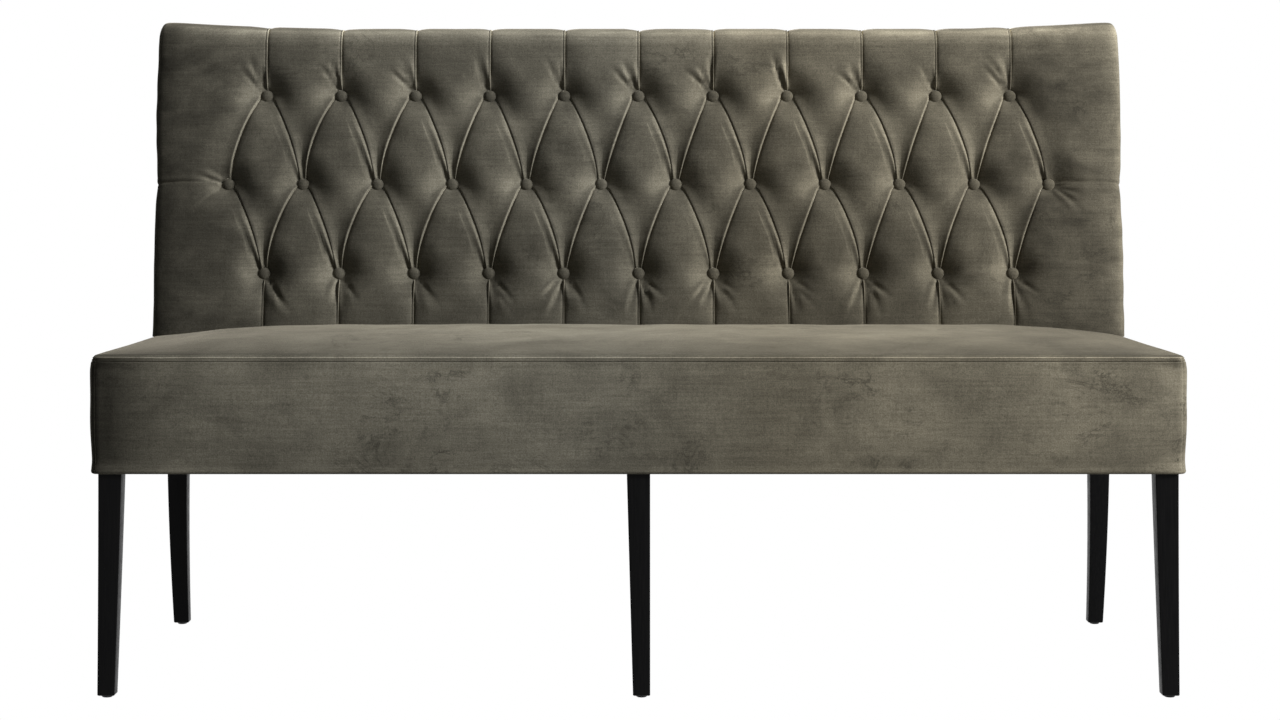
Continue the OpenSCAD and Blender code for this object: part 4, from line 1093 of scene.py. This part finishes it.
# %% [markdown]
# ## Legs
# Each leg is cut from one square of beech: the outer edge is upright, the inner edge tapers, and the leg sweeps
# forwards or backwards with a curve that gathers towards the foot. A line is swept with a rounded square, and Set
# Position bends the bar by the maker's rule, so one tree gives all six legs from their sizes.


# %% Tree of a sabre leg
def leg_tree():
    t = Tree("sabre_leg", {
        "Foot": 0.003, "Shoulder": 0.325, "Top": 0.424, "Kink": 0.44, "Rake": 0.0, "Foot Width": 0.025,
        "Leg Width": 0.034, "Post Width": 0.034, "Foot Depth": 0.022, "Leg Depth": 0.030, "Sweep": 0.0, "Bend": 1.7,
        "Bevel": 0.0015, "Outer X": 0.0, "Hand": -1.0, "Front Y": 0.0, "Rings": 72,
    })
    g, m = t.inputs, t.maths
    line = t.geo("CurvePrimitiveLine", Start=(0, 0, 0), End=(0, 0, 1))
    line = t.geo("ResampleCurve", Curve=line, Count=g["Rings"])
    square = t.geo("CurvePrimitiveQuadrilateral", Width=1.0, Height=1.0)
    soft = t.geo("FilletCurve", {"mode": "POLY"}, Curve=square, Radius=0.055, Count=4, Limit_Radius=True)
    bar = t.geo("CurveToMesh", Curve=line, Profile_Curve=soft, Fill_Caps=True)
    place = t.parts(t.geo("InputPosition"))

    def tapered(share, low, high):
        return m("MULTIPLY_ADD", share, m("SUBTRACT", high, low), low)

    def reached(low, high):
        return t.node("ShaderNodeMapRange", Value=z, From_Min=low, From_Max=high).outputs[0]

    def inset_half(at, size):
        return m("MULTIPLY_ADD", at, m("MULTIPLY_ADD", inset, -2.0, size), m("MULTIPLY", size, 0.5))

    z = tapered(m("POWER", place[2], 1.6), g["Foot"], g["Top"])
    share, above = reached(g["Foot"], g["Shoulder"]), reached(g["Shoulder"], m("ADD", g["Shoulder"], 0.004))
    width = tapered(above, tapered(share, g["Foot Width"], g["Leg Width"]), g["Post Width"])
    depth = tapered(share, g["Foot Depth"], g["Leg Depth"])
    near = m("MAXIMUM", 0.0, m("SUBTRACT", 1.0, m("DIVIDE", m("SUBTRACT", z, g["Foot"]), g["Bevel"])))
    inset = t.product(g["Bevel"], near, near)
    swept = m("MULTIPLY", g["Sweep"], m("POWER", m("SUBTRACT", 1.0, share), g["Bend"]))
    raised = m("MULTIPLY", g["Rake"], m("MAXIMUM", 0.0, m("SUBTRACT", z, g["Kink"])))
    x = m("MULTIPLY_ADD", g["Hand"], inset_half(place[0], width), g["Outer X"])
    y = m("ADD", m("ADD", inset_half(place[1], depth), g["Front Y"]), m("ADD", swept, raised))
    bent = t.geo("SetPosition", Geometry=bar, Position=t.xyz(x, y, z))
    return t.end(bent, leg_black)


sabre_leg = leg_tree()

# %% Six legs
frame_half, centre_half = 0.786, 0.017
front = dict(Front_Y=front_y + 0.010, Sweep=-0.008)
rear = dict(Front_Y=post_y, Sweep=0.055, Rake=math.tan(lean))
post = dict(rear, Top=0.9835, Post_Width=0.060, Rings=100)
legs = {
    "leg_front_left": dict(front, Outer_X=-frame_half, Hand=1.0, Top=0.424),
    "leg_front_right": dict(front, Outer_X=frame_half, Top=0.424),
    "leg_front_centre": dict(front, Outer_X=centre_half, Top=clear_z),
    "leg_rear_left": dict(post, Outer_X=-frame_half, Hand=1.0),
    "leg_rear_right": dict(post, Outer_X=frame_half),
    "leg_rear_centre": dict(rear, Outer_X=centre_half, Top=0.5495, Rings=90),
}
for name, sizes in legs.items():
    leg = grow("sabre_" + name, sabre_leg, "lacquered_wood", Shoulder=clear_z, Kink=kink_z, **sizes)
    leg.data.set_sharp_from_angle(angle=math.radians(28))
    edited(leg, face_out)
    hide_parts(name)

# %% [markdown]
# ## Buttons
# A covered button is a dome of tin wrapped in the same velvet. One dome is drawn once and set on every button place,
# turned to the rake of the back.


# %% Buttons
def button_tree():
    t = Tree("covered_buttons", {"Radius": 0.0105, "Rise": 0.0056, "Rim": 0.0018, "Tilt": lean})
    g, m = t.inputs, t.maths
    ball = t.geo("MeshUVSphere", Segments=32, Rings=18, Radius=1.0)
    place = t.parts(t.geo("InputPosition"))
    dome = m("MULTIPLY", m("MAXIMUM", place[2], 0.0), g["Rise"])
    height = m("MULTIPLY_ADD", m("MINIMUM", place[2], 0.0), g["Rim"], m("ADD", dome, g["Rim"]))
    pucker = t.node("ShaderNodeTexNoise", Scale=2.6).outputs[0]
    wide = m("MULTIPLY", g["Radius"], m("MULTIPLY_ADD", pucker, 0.03, 0.985))
    shape = t.xyz(m("MULTIPLY", place[0], wide), m("MULTIPLY", place[1], wide), height)
    shaped = t.geo("SetPosition", Geometry=ball, Position=shape)
    spots = t.geo("MeshToPoints", Mesh=g["Geometry"])
    tilted = t.xyz(m("ADD", g["Tilt"], math.pi / 2), 0.0, 0.0)
    set_on = t.geo("InstanceOnPoints", Points=spots, Instance=shaped, Rotation=tilted)
    return t.end(set_on, velvet_button)


button_y = -0.0540
back_buttons = grow("velvet_buttons", button_tree(), "velvet", [raked(x, button_y, z) for x, z in buttons])
edited(back_buttons, face_out)
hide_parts("back_buttons")

# %% [markdown]
# ## Stitches
# The seam of the seat is held by a line of short stitches 5 mm under the top edge, and the corner seams by two more.
# Each stitch is a small capsule on a resampled path, laid along the path. The staples under the seat use this too.


# %% Stitches
def laid_tree(name, finish, segments, rings, **sizes):
    """Capsules of that length and thickness laid along paths, one every pitch."""
    t = Tree(name, sizes)
    g = t.inputs
    path = t.geo("MeshToCurve", Mesh=g["Geometry"])
    spots = t.geo("ResampleCurve", {"mode": "LENGTH"}, Curve=path, Length=g["Pitch"])
    capsule = t.geo("MeshUVSphere", Segments=segments, Rings=rings, Radius=0.5)
    along = t.node("FunctionNodeAlignRotationToVector", {"axis": "Z"}, Vector=t.geo("InputTangent")).outputs[0]
    size = t.xyz(g["Thickness"], g["Thickness"], g["Length"])
    laid = t.geo("InstanceOnPoints", Points=spots, Instance=capsule, Rotation=along, Scale=size)
    return t.end(laid, finish)


def chain(*paths):
    """Points and edges of several open paths, for a tree that follows them."""
    points, edges = [], []
    for path in paths:
        edges += [(len(points) + k, len(points) + k + 1) for k in range(len(path) - 1)]
        points += path
    return dict(points=points, edges=edges)


def by_wall(row, k, out):
    """The point of the seat's wall in that row and column, moved out by a little."""
    x, y, z = wall[row][k]
    return x + out * out_x[k], y + out * out_y[k] + front_y, z


stitch_row = 8
front_of_back = int(np.argmax(edge_y < crease_y + 0.03))
run_round = [by_wall(stitch_row, k, 0.0001) for k in range(front_of_back, 2 * (ny - 1) + nx - front_of_back)]
corners = [int(np.argmin(np.abs(turn - side))) for side in (-45, 45)]
seams = [[by_wall(row, k, -0.0002) for row in range(stitch_row + 1, 48)] for k in corners]
stitch_tree = laid_tree("stitches", thread, 6, 5, Pitch=0.0034, Length=0.0023, Thickness=0.00055)
grow("seat_stitches", stitch_tree, "velvet", **chain(run_round, *seams))

# %% [markdown]
# ## Outside back
# The back of the bench is closed by a board in the same velvet. The cover is pulled tight over a thin wadding, so the
# panel swells a little and its edges are round.

# %% Panel of the outside back
panel_in, panel_t, fit_gap, edge_round, wadding = 0.004, 0.0047, 0.0003, 0.0022, 0.0016
low_run, high_run, kink_blend = kink_z - clear_z, 0.5455, 0.004
up_panel = np.concatenate([gathered(0, low_run, 22, 0.5)[:-1], low_run + gathered(0, high_run, 60, 0.4)])
across = gathered(-half_w + panel_in, half_w - panel_in, 121, 0.5)


def panel_point(x, s, off):
    """A point of the panel: x across, s up from the seat box's foot, off back from the posts."""
    _, high_y, high_z = raked(x, rear_r + off, s - low_run)
    mixed = smoothstep(s, low_run - kink_blend, low_run + kink_blend)
    return x, (post_y + rear_r + off) * (1 - mixed) + high_y * mixed, (clear_z + s) * (1 - mixed) + high_z * mixed


round_side = edge_round * (1 - np.sqrt(eased(half_w - panel_in - np.abs(across), edge_round)))
rings = []
for s in up_panel:
    into = min(s, up_panel[-1] - s)
    swell = wadding * math.sin(math.pi * s / up_panel[-1]) ** 0.5
    thin = edge_round * (1 - math.sqrt(eased(into, edge_round)))
    ripple = uneven(across, across * 0 + s, 31, 0.22, 0.0004) * smoothstep(into, 0, 0.04)
    off = panel_t - np.maximum(thin, round_side) + swell * (1 - np.abs(across / half_w) ** 6) + ripple
    rings.append([panel_point(x, s, o) for x, o in zip(across, off)]
                 + [panel_point(x, s, fit_gap) for x in across[::-1]])
outside_back = piece("outside_back_cover", np.array(rings).reshape(-1, 3), capped_tube(len(rings), 2 * len(across)),
                     velvet_back)
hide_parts("outside_back")

# %% [markdown]
# ## Dust cloth
# Thin black felt closes the underside. It is cut from one sheet, stapled round its edge to the rails and sags a little
# between them.

# %% Dust cloth
cloth_low, cloth_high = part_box("seat_dust_cloth")
cloth_n, cloth_t = (155, 51), 0.0008
rail_in, cloth_sag = 0.020, 0.0035
corner_cut, centre_cut = 0.750, 0.019  # the cloth is cut out outside and inside these distances from the middle


def cloth_z(x, y):
    """The height of the cloth, which never rises above the foot of the seat's skin."""
    rim = np.minimum(np.minimum(x - cloth_low.x, cloth_high.x - x), np.minimum(y - cloth_low.y, cloth_high.y - y))
    sag = cloth_sag * smoothstep(rim, rail_in, 0.12)
    sag = sag - uneven(x, y, 41, 0.16, 0.0012) * smoothstep(rim, 0.004, 0.05)
    return clear_z - 0.0007 - np.maximum(0.0, sag)


def cut_away(x, y):
    """True where the cloth is cut out round a leg."""
    near_leg_row = y < front_y + 0.042 or y > post_y - 0.002
    return near_leg_row and (abs(x) > corner_cut or abs(x) < centre_cut)


gx, gy = np.meshgrid(np.linspace(cloth_low.x, cloth_high.x, cloth_n[0]),
                     np.linspace(cloth_low.y, cloth_high.y, cloth_n[1]), indexing="ij")
points = np.stack([gx, gy, cloth_z(gx, gy)], 2).reshape(-1, 3)
faces = [f for f in tube_faces(*cloth_n, closed=False) if not cut_away(*points[list(f)].mean(0)[:2])]
dust_cloth = piece("black_dust_cloth", points, faces, felt)
edited(dust_cloth, drop_loose)
solid = dust_cloth.modifiers.new("thickness", "SOLIDIFY")
solid.thickness, solid.offset = cloth_t, 0.0
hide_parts("seat_dust_cloth")

# %% Staples
staple_in, staple_z, staple_ends = 0.008, clear_z - 0.0013, (0.735, 0.040)
sides_x = (cloth_low.x + staple_in, cloth_high.x - staple_in)
sides_y = (cloth_low.y + staple_in, cloth_high.y - staple_in)
runs = [[(side * x, y, staple_z) for x in np.linspace(*staple_ends, 30)] for y in sides_y for side in (-1, 1)]
runs += [[(x, y, staple_z) for y in np.linspace(front_y + 0.060, post_y - 0.020, 20)] for x in sides_x]
staple_tree = laid_tree("staples", steel, 8, 6, Pitch=0.045, Length=0.010, Thickness=0.0009)
grow("dust_cloth_staples", staple_tree, "zinc_steel", **chain(*runs))
